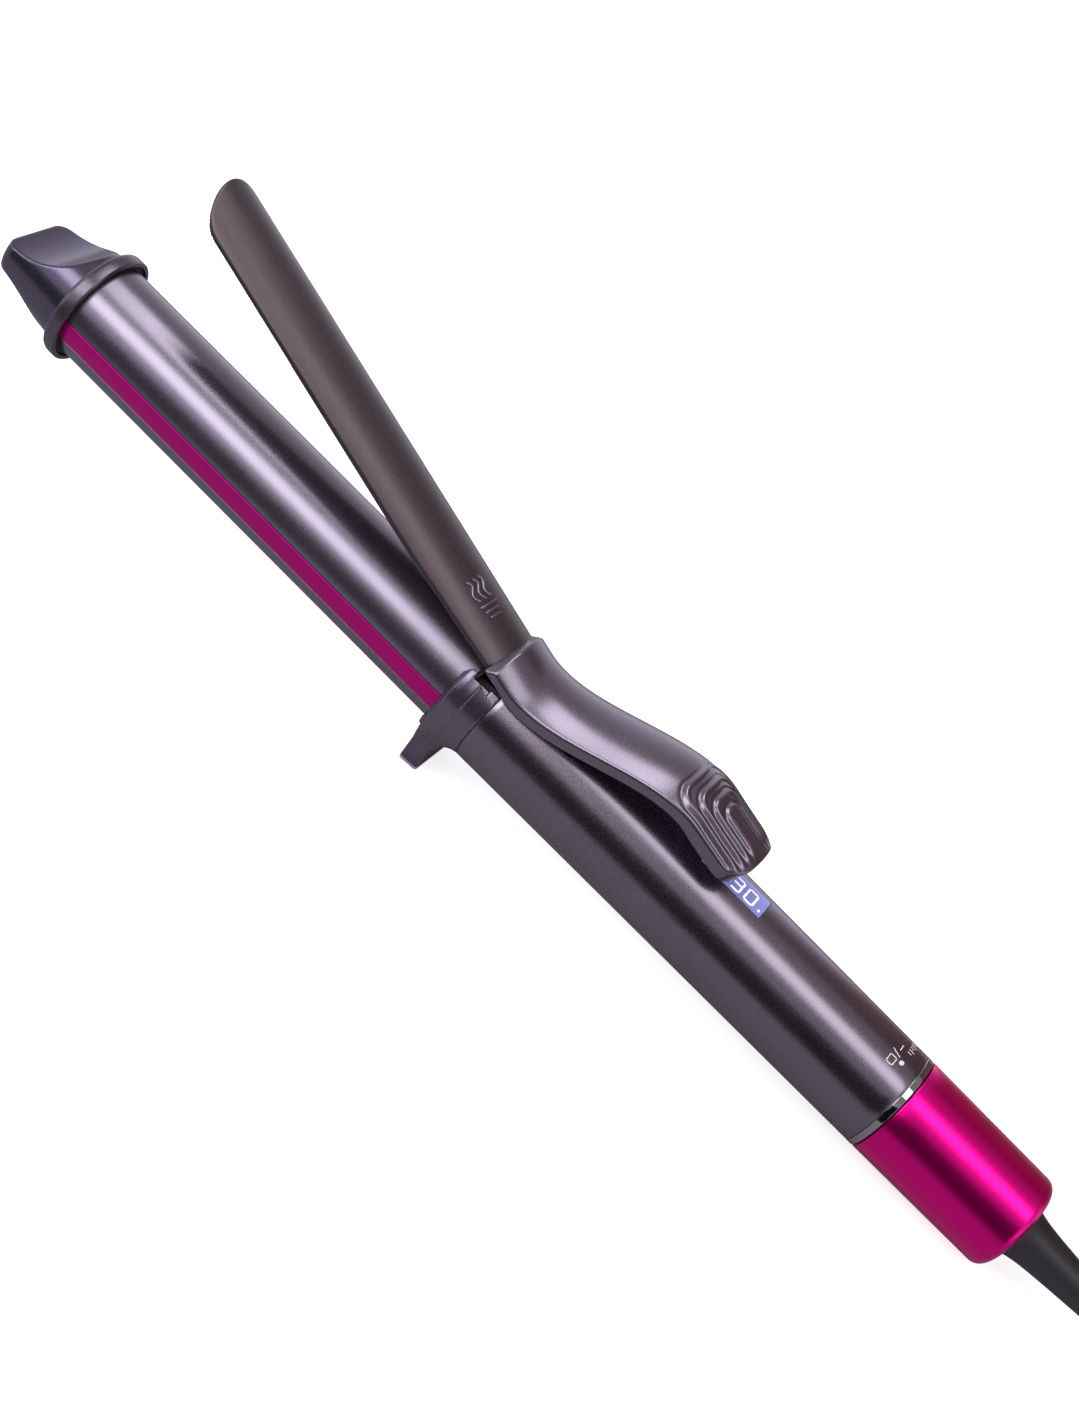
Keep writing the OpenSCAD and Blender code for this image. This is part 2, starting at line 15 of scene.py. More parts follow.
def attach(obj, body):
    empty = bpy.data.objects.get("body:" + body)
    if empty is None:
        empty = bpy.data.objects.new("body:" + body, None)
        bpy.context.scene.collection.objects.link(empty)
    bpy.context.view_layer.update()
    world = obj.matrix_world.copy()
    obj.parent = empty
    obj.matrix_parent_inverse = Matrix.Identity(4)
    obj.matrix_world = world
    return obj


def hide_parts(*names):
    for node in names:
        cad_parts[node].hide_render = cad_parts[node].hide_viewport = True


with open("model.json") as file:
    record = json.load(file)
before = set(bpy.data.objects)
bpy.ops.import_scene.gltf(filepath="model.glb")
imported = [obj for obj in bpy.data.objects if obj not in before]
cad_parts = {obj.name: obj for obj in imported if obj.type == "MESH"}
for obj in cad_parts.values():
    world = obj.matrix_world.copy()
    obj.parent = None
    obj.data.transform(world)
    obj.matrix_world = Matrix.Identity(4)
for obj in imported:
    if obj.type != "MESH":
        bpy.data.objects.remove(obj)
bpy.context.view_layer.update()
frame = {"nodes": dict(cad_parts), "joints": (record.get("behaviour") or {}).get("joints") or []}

# ---------------------------------------------------------------- the tool's frame
NOSE_UP = math.radians(3.9)
CLAMP_OPEN = math.radians(16.2)
HINGE = np.array([9.0, 0.0, 10.5])
joints = {j["name"]: j for j in frame["joints"]}
HINGE_AT = np.array(joints["clamp_hinge"]["pos_m"])


def tool(points, turn=0.0):
    """Points of the tool's frame, in mm, to the row frame, in m; turn opens them about the clamp's hinge."""
    p = np.asarray(points, float) - HINGE
    c, s = math.cos(NOSE_UP + turn), math.sin(NOSE_UP + turn)
    x, y, z = p[..., 0], p[..., 1], p[..., 2]
    return np.stack([x * c + z * s, y, z * c - x * s], -1) / 1000 + HINGE_AT


def ease(u):
    v = np.clip(u, 0, 1)
    return v * v * (3 - 2 * v)


# ---------------------------------------------------------------- camera
LENS, PICTURE_HIGH = 55.814, 36  # mm
EYE_REACH, EYE_X = 548.9, 51.0  # mm from the tool's axis, and along it
EYE_RISE, EYE_YAW, EYE_PITCH = (math.radians(a) for a in (37, 4.561, 0.75))


def add_camera():
    """Looks at the tool from its near side and above, rolled by 45 degrees as in the photo."""
    lift, side = math.sin(EYE_RISE), math.cos(EYE_RISE)
    ahead, up0, along = np.array([0, side, -lift]), np.array([0, lift, side]), np.array([1.0, 0, 0])
    forward = ahead * math.cos(EYE_YAW) - along * math.sin(EYE_YAW)
    along = along * math.cos(EYE_YAW) + ahead * math.sin(EYE_YAW)
    up = up0 * math.cos(EYE_PITCH) - forward * math.sin(EYE_PITCH)
    forward = forward * math.cos(EYE_PITCH) + up0 * math.sin(EYE_PITCH)
    base = tool([0, 0, 0])
    eye = tool([EYE_X, -EYE_REACH * side, EYE_REACH * lift])

    def way(v):
        v = (tool(v) - base) * 1000
        return Vector(v).normalized()

    right = way((along + up) / math.sqrt(2))
    high = way((up - along) / math.sqrt(2))
    back = right.cross(high)
    cam = bpy.data.cameras.new("camera")
    cam.lens, cam.sensor_width = LENS, PICTURE_HIGH
    cam.clip_start, cam.clip_end = 0.01, 50
    ob = bpy.data.objects.new("camera", cam)
    ob.matrix_world = Matrix.Translation(Vector(eye)) @ Matrix((right, high, back)).transposed().to_4x4()
    bpy.context.scene.collection.objects.link(ob)
    bpy.context.scene.camera = ob


add_camera()


# ---------------------------------------------------------------- materials
GRAIN_DEPTH = 0.00003  # m
COAT_ROUGH = 0.2
ROUGH_SPREAD = 0.03


class Nodes:
    """A small helper to write a node tree."""

    def __init__(self, name):
        self.mat = bpy.data.materials.new(name)
        self.mat.use_nodes = True
        self.tree = self.mat.node_tree
        self.shader = self.tree.nodes["Principled BSDF"]

    def add(self, kind, **values):
        node = self.tree.nodes.new(kind)
        for key, value in values.items():
            if key in node.inputs:
                node.inputs[key].default_value = value
            else:
                setattr(node, key, value)
        return node

    def link(self, a, b):
        self.tree.links.new(a, b)

    def noise(self, scale, detail=2.0, rough=0.5, stretch=None):
        coord = self.add("ShaderNodeTexCoord")
        noise = self.add("ShaderNodeTexNoise", Scale=scale, Detail=detail, Roughness=rough)
        if stretch:
            mapping = self.add("ShaderNodeMapping")
            mapping.inputs["Scale"].default_value = stretch
            self.link(coord.outputs["Object"], mapping.inputs["Vector"])
            self.link(mapping.outputs["Vector"], noise.inputs["Vector"])
        else:
            self.link(coord.outputs["Object"], noise.inputs["Vector"])
        return noise.outputs["Fac"]

    def spread(self, source, low, high):
        """Stretches the middle of a noise to run from low to high."""
        node = self.add("ShaderNodeMapRange")
        for key, value in (("From Min", 0.3), ("From Max", 0.7), ("To Min", low), ("To Max", high)):
            node.inputs[key].default_value = value
        self.link(source, node.inputs["Value"])
        return node.outputs["Result"]

    def mix(self, factor, dark, light):
        node = self.add("ShaderNodeMix", data_type="RGBA")
        node.inputs["A"].default_value = (*dark, 1)
        node.inputs["B"].default_value = (*light, 1)
        self.link(factor, node.inputs["Factor"])
        return node.outputs["Result"]

    def bump(self, source, strength):
        node = self.add("ShaderNodeBump", Strength=strength, Distance=GRAIN_DEPTH)
        self.link(source, node.inputs["Height"])
        return node.outputs["Normal"]

    def base(self, metallic, specular, coat=0.0, coat_rough=0.1):
        for key, value in (("Metallic", metallic), ("Specular IOR Level", specular), ("Coat Weight", coat),
                           ("Coat Roughness", coat_rough)):
            self.shader.inputs[key].default_value = value


def scaled(colour, k):
    return tuple(min(1.0, c * k) for c in colour)


def flaked(name, colour, metallic, rough, flake, grain=2600, bump=0.25, coat=0.0, specular=0.5, wear=0.01,
           stretch=None):
    """Lacquer or moulded grain: fine flakes in colour, roughness and bump, and faint clouds of wear."""
    n = Nodes(name)
    n.base(metallic, specular, coat, COAT_ROUGH)
    fine = n.noise(grain, 3.0, 0.6, stretch)
    cloud = n.noise(60, 2.0, 0.5)
    colour_out = n.mix(n.spread(fine, 0, 1), scaled(colour, 1 - flake), scaled(colour, 1 + flake))
    n.link(colour_out, n.shader.inputs["Base Color"])
    add = n.add("ShaderNodeMath", operation="ADD")
    n.link(n.spread(fine, rough - ROUGH_SPREAD, rough + ROUGH_SPREAD), add.inputs[0])
    n.link(n.spread(cloud, -wear, wear), add.inputs[1])
    n.link(add.outputs[0], n.shader.inputs["Roughness"])
    n.link(n.bump(fine, bump), n.shader.inputs["Normal"])
    return n.mat


MATERIALS = {}


def define_materials():
    m = MATERIALS
    m["barrel"] = flaked("barrel_coating", (0.25, 0.224, 0.288), 0.97, 0.29, 0.07, bump=0.03)
    m["strip"] = flaked("magenta_strip", (0.42, 0.003, 0.175), 0.75, 0.30, 0.05, bump=0.05, specular=0.3)
    m["ring"] = flaked("tip_ring_plastic", (0.140, 0.117, 0.152), 0.92, 0.30, 0.18, 1500, 0.45)
    m["cap"] = flaked("cap_plastic", (0.132, 0.116, 0.176), 0.95, 0.25, 0.04, 3200, 0.04)
    m["collar"] = flaked("collar_plastic", (0.190, 0.168, 0.228), 0.94, 0.28, 0.08, bump=0.07)
    m["handle"] = flaked("handle_plastic", (0.255, 0.221, 0.284), 1.0, 0.26, 0.11, bump=0.10)
    m["clamp"] = flaked("clamp_coating", (0.100, 0.080, 0.090), 0.88, 0.38, 0.14, bump=0.10)
    m["lever"] = flaked("lever_plastic", (0.21, 0.181, 0.238), 0.94, 0.27, 0.08, bump=0.07)
    m["chrome"] = flaked("trim_chrome", (0.45, 0.43, 0.47), 1.0, 0.07, 0.02, 3000, 0.02, wear=0.02)
    m["dial"] = flaked("magenta_dial", (1.0, 0.001, 0.31), 1.0, 0.31, 0.03, 2600, 0.03, coat=0.2)
    m["boot"] = flaked("boot_rubber", (0.015, 0.014, 0.018), 0.0, 0.46, 0.15, 2200, 0.4)
    m["cord"] = flaked("cord_rubber", (0.016, 0.015, 0.019), 0.0, 0.50, 0.15, 2600, 0.5)
    m["plug"] = flaked("plug_rubber", (0.018, 0.017, 0.021), 0.0, 0.48, 0.15, 2200, 0.5)
    m["tie"] = flaked("tie_fabric", (0.022, 0.022, 0.024), 0.0, 0.85, 0.5, 1800, 1.0)
    # painted shade: the black for the shadowed recess between the tip ring and the barrel
    m["dark"] = flaked("painted_shade_black", (0.010, 0.009, 0.012), 0.0, 0.70, 0.3, 2200, 0.4)
    m["print"] = flaked("print_white", (0.80, 0.79, 0.82), 0.0, 0.55, 0.04, 3000, 0.1)
    m["steel"] = flaked("spring_steel", (0.58, 0.58, 0.60), 1.0, 0.28, 0.08, 1600, 0.3, stretch=(1, 6, 1))
    m["blade"] = flaked("blade_metal", (0.72, 0.68, 0.60), 1.0, 0.22, 0.06, 1800, 0.2, stretch=(6, 1, 1))
    m["brass"] = flaked("contact_brass", (0.75, 0.55, 0.24), 1.0, 0.26, 0.08, 1800, 0.2)
    m["aluminium"] = flaked("heat_aluminium", (0.66, 0.66, 0.68), 1.0, 0.38, 0.08, 1400, 0.4,
                            stretch=(1, 8, 8))
    m["ceramic"] = flaked("heater_ceramic", (0.78, 0.74, 0.64), 0.0, 0.60, 0.06, 2400, 0.5)
    m["bead"] = flaked("sensor_glass", (0.50, 0.18, 0.05), 0.0, 0.15, 0.05, 2000, 0.1, coat=0.6)
    m["sleeve"] = flaked("fuse_sleeve", (0.74, 0.73, 0.68), 0.0, 0.80, 0.16, 2600, 1.0, stretch=(3, 1, 1))
    m["nylon"] = flaked("socket_plastic", (0.090, 0.090, 0.098), 0.0, 0.48, 0.12, 2400, 0.5)
    m["carrier"] = flaked("carrier_plastic", (0.26, 0.26, 0.27), 0.0, 0.46, 0.10, 2400, 0.4)
    m["board"] = flaked("circuit_board", (0.015, 0.16, 0.07), 0.0, 0.30, 0.25, 900, 0.3, coat=0.3)
    m["film"] = flaked("capacitor_film", (0.58, 0.36, 0.05), 0.0, 0.22, 0.08, 1800, 0.2, coat=0.5)
    m["terminal"] = flaked("terminal_plastic", (0.04, 0.28, 0.13), 0.0, 0.42, 0.08, 2400, 0.3)
    m["lead"] = flaked("lead_sleeve", (0.70, 0.70, 0.67), 0.0, 0.50, 0.06, 2400, 0.3)
    m["block"] = flaked("display_block", (0.015, 0.015, 0.018), 0.0, 0.20, 0.10, 2400, 0.1)
    m["window"] = glowing("display_window", (0.20, 0.215, 0.55), (0.20, 0.22, 0.56), 0.42)
    m["digits"] = glowing("display_digits", (0.85, 0.87, 1.0), (0.80, 0.83, 1.0), 0.75)


def glowing(name, colour, light, strength):
    """A backlit panel: its colour and glow vary a little in soft random clouds, under a glossy face."""
    n = Nodes(name)
    n.base(0.0, 0.4, 0.5, 0.05)
    n.shader.inputs["Roughness"].default_value = 0.25
    cloud = n.noise(160, 2.0)
    n.link(n.mix(n.spread(cloud, 0, 1), scaled(colour, 0.92), colour), n.shader.inputs["Base Color"])
    n.link(n.mix(n.spread(cloud, 0, 1), scaled(light, 0.88), light), n.shader.inputs["Emission Color"])
    n.shader.inputs["Emission Strength"].default_value = strength
    return n.mat


define_materials()


# ---------------------------------------------------------------- mesh helpers
def piece(name, points, faces, material, body="root", slot=None, replaces=(), turn=0.0, sharp=32,
          world=False):
    """Adds a mesh piece: points in the tool's frame, or in metres in the row frame where world is true."""
    mesh = bpy.data.meshes.new(name)
    at = np.asarray(points, float) if world else tool(points, turn)
    mesh.from_pydata(at.tolist(), [], [list(map(int, f)) for f in faces])
    mesh.validate()
    mesh.shade_smooth()
    if sharp:
        mesh.set_sharp_from_angle(angle=math.radians(sharp))
    mesh.materials.append(MATERIALS[material])
    ob = bpy.data.objects.new(name, mesh)
    bpy.context.scene.collection.objects.link(ob)
    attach(ob, body)
    if replaces:
        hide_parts(*replaces)
    return ob


def rounded(corners, steps=5):
    """A closed outline of (a, b, radius) corners, each cut by a soft curve of about that radius."""
    out = []
    n = len(corners)
    for i, corner in enumerate(corners):
        p = np.array(corner[:2], float)
        r = corner[2] if len(corner) > 2 else 0
        if not r:
            out.append(p)
            continue
        u = np.array(corners[i - 1][:2], float) - p
        v = np.array(corners[(i + 1) % n][:2], float) - p
        lu, lv = np.linalg.norm(u), np.linalg.norm(v)
        u, v = u / lu, v / lv
        half = math.acos(float(np.clip(u @ v, -1, 1))) / 2
        t = min(r / math.tan(half), 0.48 * lu, 0.48 * lv)
        a, b = p + u * t, p + v * t
        for k in range(steps + 1):
            w = k / steps
            out.append((1 - w) ** 2 * a + 2 * w * (1 - w) * p + w * w * b)
    return np.array(out)


def grid_faces(rows, cols, wrap_rows=False, wrap_cols=True):
    """Quads between rows of points, each row a ring where wrap_cols is true."""
    faces = []
    for i in range(rows if wrap_rows else rows - 1):
        for k in range(cols if wrap_cols else cols - 1):
            a, b = i * cols + k, i * cols + (k + 1) % cols
            c, d = ((i + 1) % rows) * cols + (k + 1) % cols, ((i + 1) % rows) * cols + k
            faces.append((a, b, c, d))
    return faces


def turned(name, outline, material, segments=192, **more):
    """Revolves a closed outline of (x, radius) points about the tool's axis."""
    outline = np.asarray(outline)
    angle = np.linspace(0, 2 * math.pi, segments, endpoint=False)
    points = [[x, r * math.cos(a), r * math.sin(a)] for x, r in outline for a in angle]
    return piece(name, points, grid_faces(len(outline), segments, wrap_rows=True), material, **more)


def drawn(name, section, stations, material, **more):
    """Extrudes a closed section of (y, z) points along x, closed at both ends."""
    m = len(section)
    points = [[x, y, z] for x in stations for y, z in section]
    faces = grid_faces(len(stations), m)
    faces += [tuple(range(m))[::-1], tuple(range((len(stations) - 1) * m, len(stations) * m))]
    return piece(name, points, faces, material, **more)


# signed distances: negative inside; cuts and joins with a true round of radius r
def cut(a, b, r):
    return np.minimum(np.maximum(a, b), -r) + np.hypot(np.maximum(a + r, 0), np.maximum(b + r, 0))


def join(a, b, r):
    return np.maximum(np.minimum(a, b), r) - np.hypot(np.maximum(r - a, 0), np.maximum(r - b, 0))


def solid(name, field, low, high, step, material, **more):
    """Meshes the zero surface of field(x, y, z) with a surface net, then moves each point onto it."""
    low, high = np.array(low, float), np.array(high, float)
    count = np.ceil((high - low) / step).astype(int) + 1
    axes = [low[i] + step * np.arange(count[i]) for i in range(3)]
    value = np.empty(tuple(count), np.float64)
    for i in range(count[0]):
        y, z = np.meshgrid(axes[1], axes[2], indexing="ij")
        value[i] = field(np.full_like(y, axes[0][i]), y, z)
    cells = tuple(count - 1)
    total, hits = np.zeros(cells + (3,)), np.zeros(cells)
    crossings = []
    for k in range(3):
        lo = [slice(None)] * 3
        hi = [slice(None)] * 3
        lo[k], hi[k] = slice(0, -1), slice(1, None)
        a, b = value[tuple(lo)], value[tuple(hi)]
        crossed = (a < 0) != (b < 0)
        crossings.append((crossed, a < 0))
        gap = np.where(crossed, a - b, 1.0)
        t = np.where(crossed, a / gap, 0.0)
        where = np.stack(np.meshgrid(*[np.arange(s, dtype=float) for s in a.shape], indexing="ij"), -1)
        where[..., k] += t
        where = where * step + low
        others = [i for i in range(3) if i != k]
        for du in (0, 1):
            for dv in (0, 1):
                part = [slice(None)] * 3
                part[others[0]] = slice(du, du + cells[others[0]])
                part[others[1]] = slice(dv, dv + cells[others[1]])
                on = crossed[tuple(part)]
                total += where[tuple(part)] * on[..., None]
                hits += on
    used = hits > 0
    number = np.full(cells, -1)
    number[used] = np.arange(used.sum())
    points = total[used] / hits[used][:, None]
    faces = []
    for k in range(3):
        crossed, inward = crossings[k]
        u, v = [(1, 2), (2, 0), (0, 1)][k]
        index = np.argwhere(crossed)
        ok = (index[:, u] > 0) & (index[:, v] > 0) & (index[:, u] < cells[u]) & (index[:, v] < cells[v])
        index = index[ok]
        flip = inward[tuple(index.T)]
        corner = []
        for du, dv in ((1, 1), (0, 1), (0, 0), (1, 0)):
            at = index.copy()
            at[:, u] -= du
            at[:, v] -= dv
            corner.append(number[tuple(at.T)])
        quad = np.stack(corner, -1)
        quad[~flip] = quad[~flip][:, ::-1]
        faces.append(quad)
    faces = np.concatenate(faces)
    d = step * 0.05
    for _ in range(4):
        x, y, z = points.T
        f = field(x, y, z)
        g = np.stack([field(x + d, y, z) - field(x - d, y, z), field(x, y + d, z) - field(x, y - d, z),
                      field(x, y, z + d) - field(x, y, z - d)], -1) / (2 * d)
        move = -(f / np.maximum((g * g).sum(-1), 0.25))[:, None] * g
        points = points + np.clip(move, -0.5 * step, 0.5 * step)
    if more.get("world"):
        points = points / 1000
    return piece(name, points, faces, material, sharp=0, **more)


# ---------------------------------------------------------------- cord, hank and plug (mm, row frame)
CORD_D = 6.0
HANK_X, HANK_Y, HANK_RUN, SETBACK = 295.0, 10.4, 119.0, 8.0
FLOOR_GAP, LAYER_STEP = 0.1, 6.2
LAYER = [FLOOR_GAP + CORD_D / 2 + LAYER_STEP * k for k in range(3)]
WIDE, TIGHT = 24.0, 18.0  # radii of the folds
HANK_H, TIE_T = 18.6, 0.8
TAIL_Z = 21.7
PLUG_Z = FLOOR_GAP + HANK_H + TIE_T + 8.1
PLUG_Y = HANK_Y + 7
PLUG_RUN = 44.0
BOOT_END = 214.4


def cord_route():
    """Centreline from the boot to the plug: the lead, nine runs of hank in three layers, then the tail."""
    end = tool([BOOT_END, 0, 0]) * 1000
    along = (tool([BOOT_END + 9, 0, 0]) - tool([BOOT_END, 0, 0])) * 1000
    route = [end, end + along]
    near = HANK_Y - WIDE
    left = HANK_X - HANK_RUN / 2
    for x in range(206, int(left) - 3, 6):
        route.append([x, near * ease((x - 200) / (left - 200)), LAYER[0] + 7.6 * (1 - ease((x - 200) / 34))])

    def ends(way, z):
        """Where the folds are centred; the upper layers keep clear of the lead."""
        return HANK_X + HANK_RUN / 2 if way > 0 else left + (SETBACK if z > LAYER[0] else 0)

    def run(side, r, slot, z0, z1, top=None):
        """One side of the hank from height z0 to z1, pulled in to its slot at the tie."""
        a, b = (ends(side, z0), ends(-side, z1))
        for u in (0, 0.05, 0.2, 0.35, 0.5, 0.65, 0.8, 0.95, 1):
            x = a + (b - a) * u
            waist = 0.5 * (1 + math.cos(math.pi * min(1, abs(x - HANK_X) / (HANK_RUN / 2 - SETBACK))))
            z = z0 + (z1 - z0) * ease(u) + max(0.1, 0.65 - 0.05 * (z0 + z1 - LAYER_STEP)) * waist
            if top is not None:
                z = z0 + (top - z0) * ease(2 * u) if u < 0.5 else top + (z1 - top) * ease(2 * u - 1)
            route.append([x, HANK_Y + side * (r + (slot - r) * waist), z])

    def turn(way, a, b, z):
        """A fold at the right (way 1) or left (way -1) end, from distance a to distance b."""
        r, mid = (a + b) / 2, (b - a) / 2
        for i in range(1, 10):
            t = math.pi * i / 10 - math.pi / 2
            route.append([ends(way, z) + way * r * math.cos(t), HANK_Y + way * (mid + r * math.sin(t)), z])

    one, two, three = LAYER
    outer, inner = 9.0, 3.0
    run(-1, WIDE, outer, one, one)
    turn(1, WIDE, WIDE, one)
    run(1, WIDE, outer, one, one)
    turn(-1, WIDE, TIGHT, one)
    run(-1, TIGHT, inner, one, one)
    turn(1, TIGHT, TIGHT, one)
    run(1, TIGHT, inner, one, two)
    turn(-1, TIGHT, TIGHT, two)
    run(-1, TIGHT, inner, two, two)
    turn(1, TIGHT, WIDE, two)
    run(1, WIDE, outer, two, two)
    turn(-1, WIDE, WIDE, two)
    run(-1, WIDE, outer, two, three)
    turn(1, WIDE, WIDE, three)
    run(1, WIDE, outer, three, three)
    turn(-1, WIDE, WIDE, three)
    run(-1, WIDE, outer, three, TAIL_Z, TAIL_Z + 0.9)
    tail_x, tail_y = HANK_X + HANK_RUN / 2, near + TIGHT
    for a in range(-75, 76, 15):
        t = math.radians(a)
        route.append([tail_x + TIGHT * math.cos(t), tail_y + TIGHT * math.sin(t),
                      TAIL_Z + ease((a + 90) / 180)])
    for i in range(7):
        u = i / 6
        route.append([tail_x - PLUG_RUN * u, tail_y + TIGHT + (PLUG_Y - tail_y - TIGHT) * ease(u),
                      TAIL_Z + 1 + (PLUG_Z - TAIL_Z - 1) * ease(u)])
    return np.array(route, float) / 1000


def add_cord():
    route = cord_route()
    curve = bpy.data.curves.new("cord", "CURVE")
    curve.dimensions = "3D"
    curve.bevel_depth = CORD_D / 2000
    curve.bevel_resolution = 5
    curve.resolution_u = 6
    curve.use_fill_caps = True
    spline = curve.splines.new("BEZIER")
    spline.bezier_points.add(len(route) - 1)
    for point, at in zip(spline.bezier_points, route):
        point.co = at
        point.handle_left_type = point.handle_right_type = "AUTO"
    curve.materials.append(MATERIALS["cord"])
    ob = bpy.data.objects.new("cord", curve)
    bpy.context.scene.collection.objects.link(ob)
    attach(ob, "root")
    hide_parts("cord_lead", "cord_hank", "cord_tail")
    return ob, route


cord, cord_points = add_cord()

# ---------------------------------------------------------------- barrel and strips
BARREL_R, BORE_R = 14.0, 12.65
STRIP_TOP, STRIP_BOTTOM = 3.4, -20.4  # degrees above the tool's side
GROOVE_R, STRIP_FLOOR_R, STRIP_R, STRIP_EDGE = 13.35, 13.4, 14.13, 0.32
BARREL_X0, BARREL_X1 = -146.4, -8.9
STRIP_X1 = -11.3


def add_barrel():
    """The tube, with a groove along each side for its strip."""
    low, high = STRIP_BOTTOM - 0.55, STRIP_TOP + 0.55
    lip = [(0.0, GROOVE_R), (0.06, 13.6), (0.16, 13.84), (0.42, 13.97), (0.8, BARREL_R)]
    half = [(rise, BARREL_R) for rise in np.linspace(-90, low - 1.0, 30)]
    half += [(low - d, r) for d, r in lip[::-1]]
    half += [(rise, GROOVE_R) for rise in np.linspace(low + 0.4, high - 0.4, 12)]
    half += [(high + d, r) for d, r in lip]
    half += [(rise, BARREL_R) for rise in np.linspace(high + 1.0, 90, 38)]
    ring = [(math.radians(180 - rise), r) for rise, r in half]
    ring += [(math.pi - a, r) for a, r in ring[1:-1][::-1]]
    rows = []
    for x, bore in ((BARREL_X0, False), (BARREL_X1, False), (BARREL_X1, True), (BARREL_X0, True)):
        rows.append([[x, (BORE_R if bore else r) * math.cos(a), (BORE_R if bore else r) * math.sin(a)]
                     for a, r in ring])
    points = np.array(rows).reshape(-1, 3)
    piece("barrel_skin", points, grid_faces(4, len(ring), wrap_rows=True), "barrel", replaces=["barrel_tube"])


def add_strips():
    """Shallow bars that stand a little proud of the barrel, with rounded edges."""
    low, high = STRIP_BOTTOM + 0.25, STRIP_TOP - 0.25
    degree = math.radians(1) * BARREL_R
    corner = [(STRIP_EDGE / degree * (1 - math.cos(a)), STRIP_R - STRIP_EDGE * (1 - math.sin(a)))
              for a in np.linspace(0, math.pi / 2, 5)]
    outline = [(low, STRIP_FLOOR_R)] + [(low + d, r) for d, r in corner]
    outline += [(rise, STRIP_R) for rise in np.linspace(low, high, 16)[1:-1]]
    outline += [(high - d, r) for d, r in corner[::-1]]
    outline += [(rise, STRIP_FLOOR_R) for rise in np.linspace(high, low, 10)[:-1]]
    for name, node, side in (("strip_near", "strip_right", 1), ("strip_far", "strip_left", -1)):
        section = [(-side * r * math.cos(math.radians(e)), r * math.sin(math.radians(e))) for e, r in outline]
        if side < 0:
            section = section[::-1]
        drawn(name, section, [BARREL_X0 + 0.1, STRIP_X1], "strip", replaces=[node])


add_barrel()
add_strips()

# ---------------------------------------------------------------- cool tip
RING_X0, RING_X1, RING_R = -148.6, -144.4, 16.6
CAP_X0, CAP_END_R, CAP_ROUND = -170.9, 11.7, 3.4
SCOOP_R, BLADE_UP, BLADE_DOWN = 23.0, 3.4, 4.3


def cap_field(x, y, z):
    """A blunt cone, scooped from above and below to a flat blade."""
    radius = np.hypot(y, z)
    slope = (BARREL_R - CAP_END_R) / (RING_X0 - CAP_X0)
    cone = (radius - BARREL_R - (x - RING_X0) * slope) / math.hypot(1, slope)
    body = cut(cone, CAP_X0 - x, CAP_ROUND)
    body = np.maximum(body, x - RING_X0 - 0.6)
    for z0 in (BLADE_UP + SCOOP_R, -BLADE_DOWN - SCOOP_R):
        scoop = np.hypot(x - CAP_X0 - 0.8, z - z0) - SCOOP_R
        body = cut(body, -scoop, 0.45)
    return body


RECESS_R, RING_BORE = 15.35, 12.6
turned("tip_ring_skin", rounded([
    (RING_X0, RING_BORE), (RING_X0, RING_R, 1.8), (RING_X1, RING_R, 1.3), (RING_X1, RECESS_R, 0.2),
    (RING_X1 - 1.9, RECESS_R), (RING_X1 - 1.9, BARREL_R + 0.02), (RING_X1 - 2.4, BARREL_R + 0.02),
    (RING_X1 - 2.4, RING_BORE)]), "ring", replaces=["tip_ring"])
# painted shade: a black ring set in the recess between the tip ring and the barrel, where it lies in shadow
turned("tip_painted_shade_ring", rounded([
    (RING_X1 - 1.85, BARREL_R + 0.01), (RING_X1 - 1.85, 15.3), (RING_X1 - 0.75, 15.25, 0.1),
    (RING_X1 - 0.75, BARREL_R + 0.01)]), "dark", slot="tip_ring_plastic")
solid("tip_cap_skin", cap_field, (CAP_X0 - 0.9, -15, -15), (RING_X0 + 1.2, 15, 15), 0.42, "cap",
      replaces=["tip_cap"])

# ---------------------------------------------------------------- collar and stand
COLLAR_X0, RIM_X1, COLLAR_R = -11.6, -5.5, 16.6
FRONT_SLOPE, BACK_SLOPE, FIN_JOIN = 1.45, -0.16, 4.6
LIFT = HINGE_AT[2] * 1000 - HINGE[2] * math.cos(NOSE_UP) + HINGE[0] * math.sin(NOSE_UP)


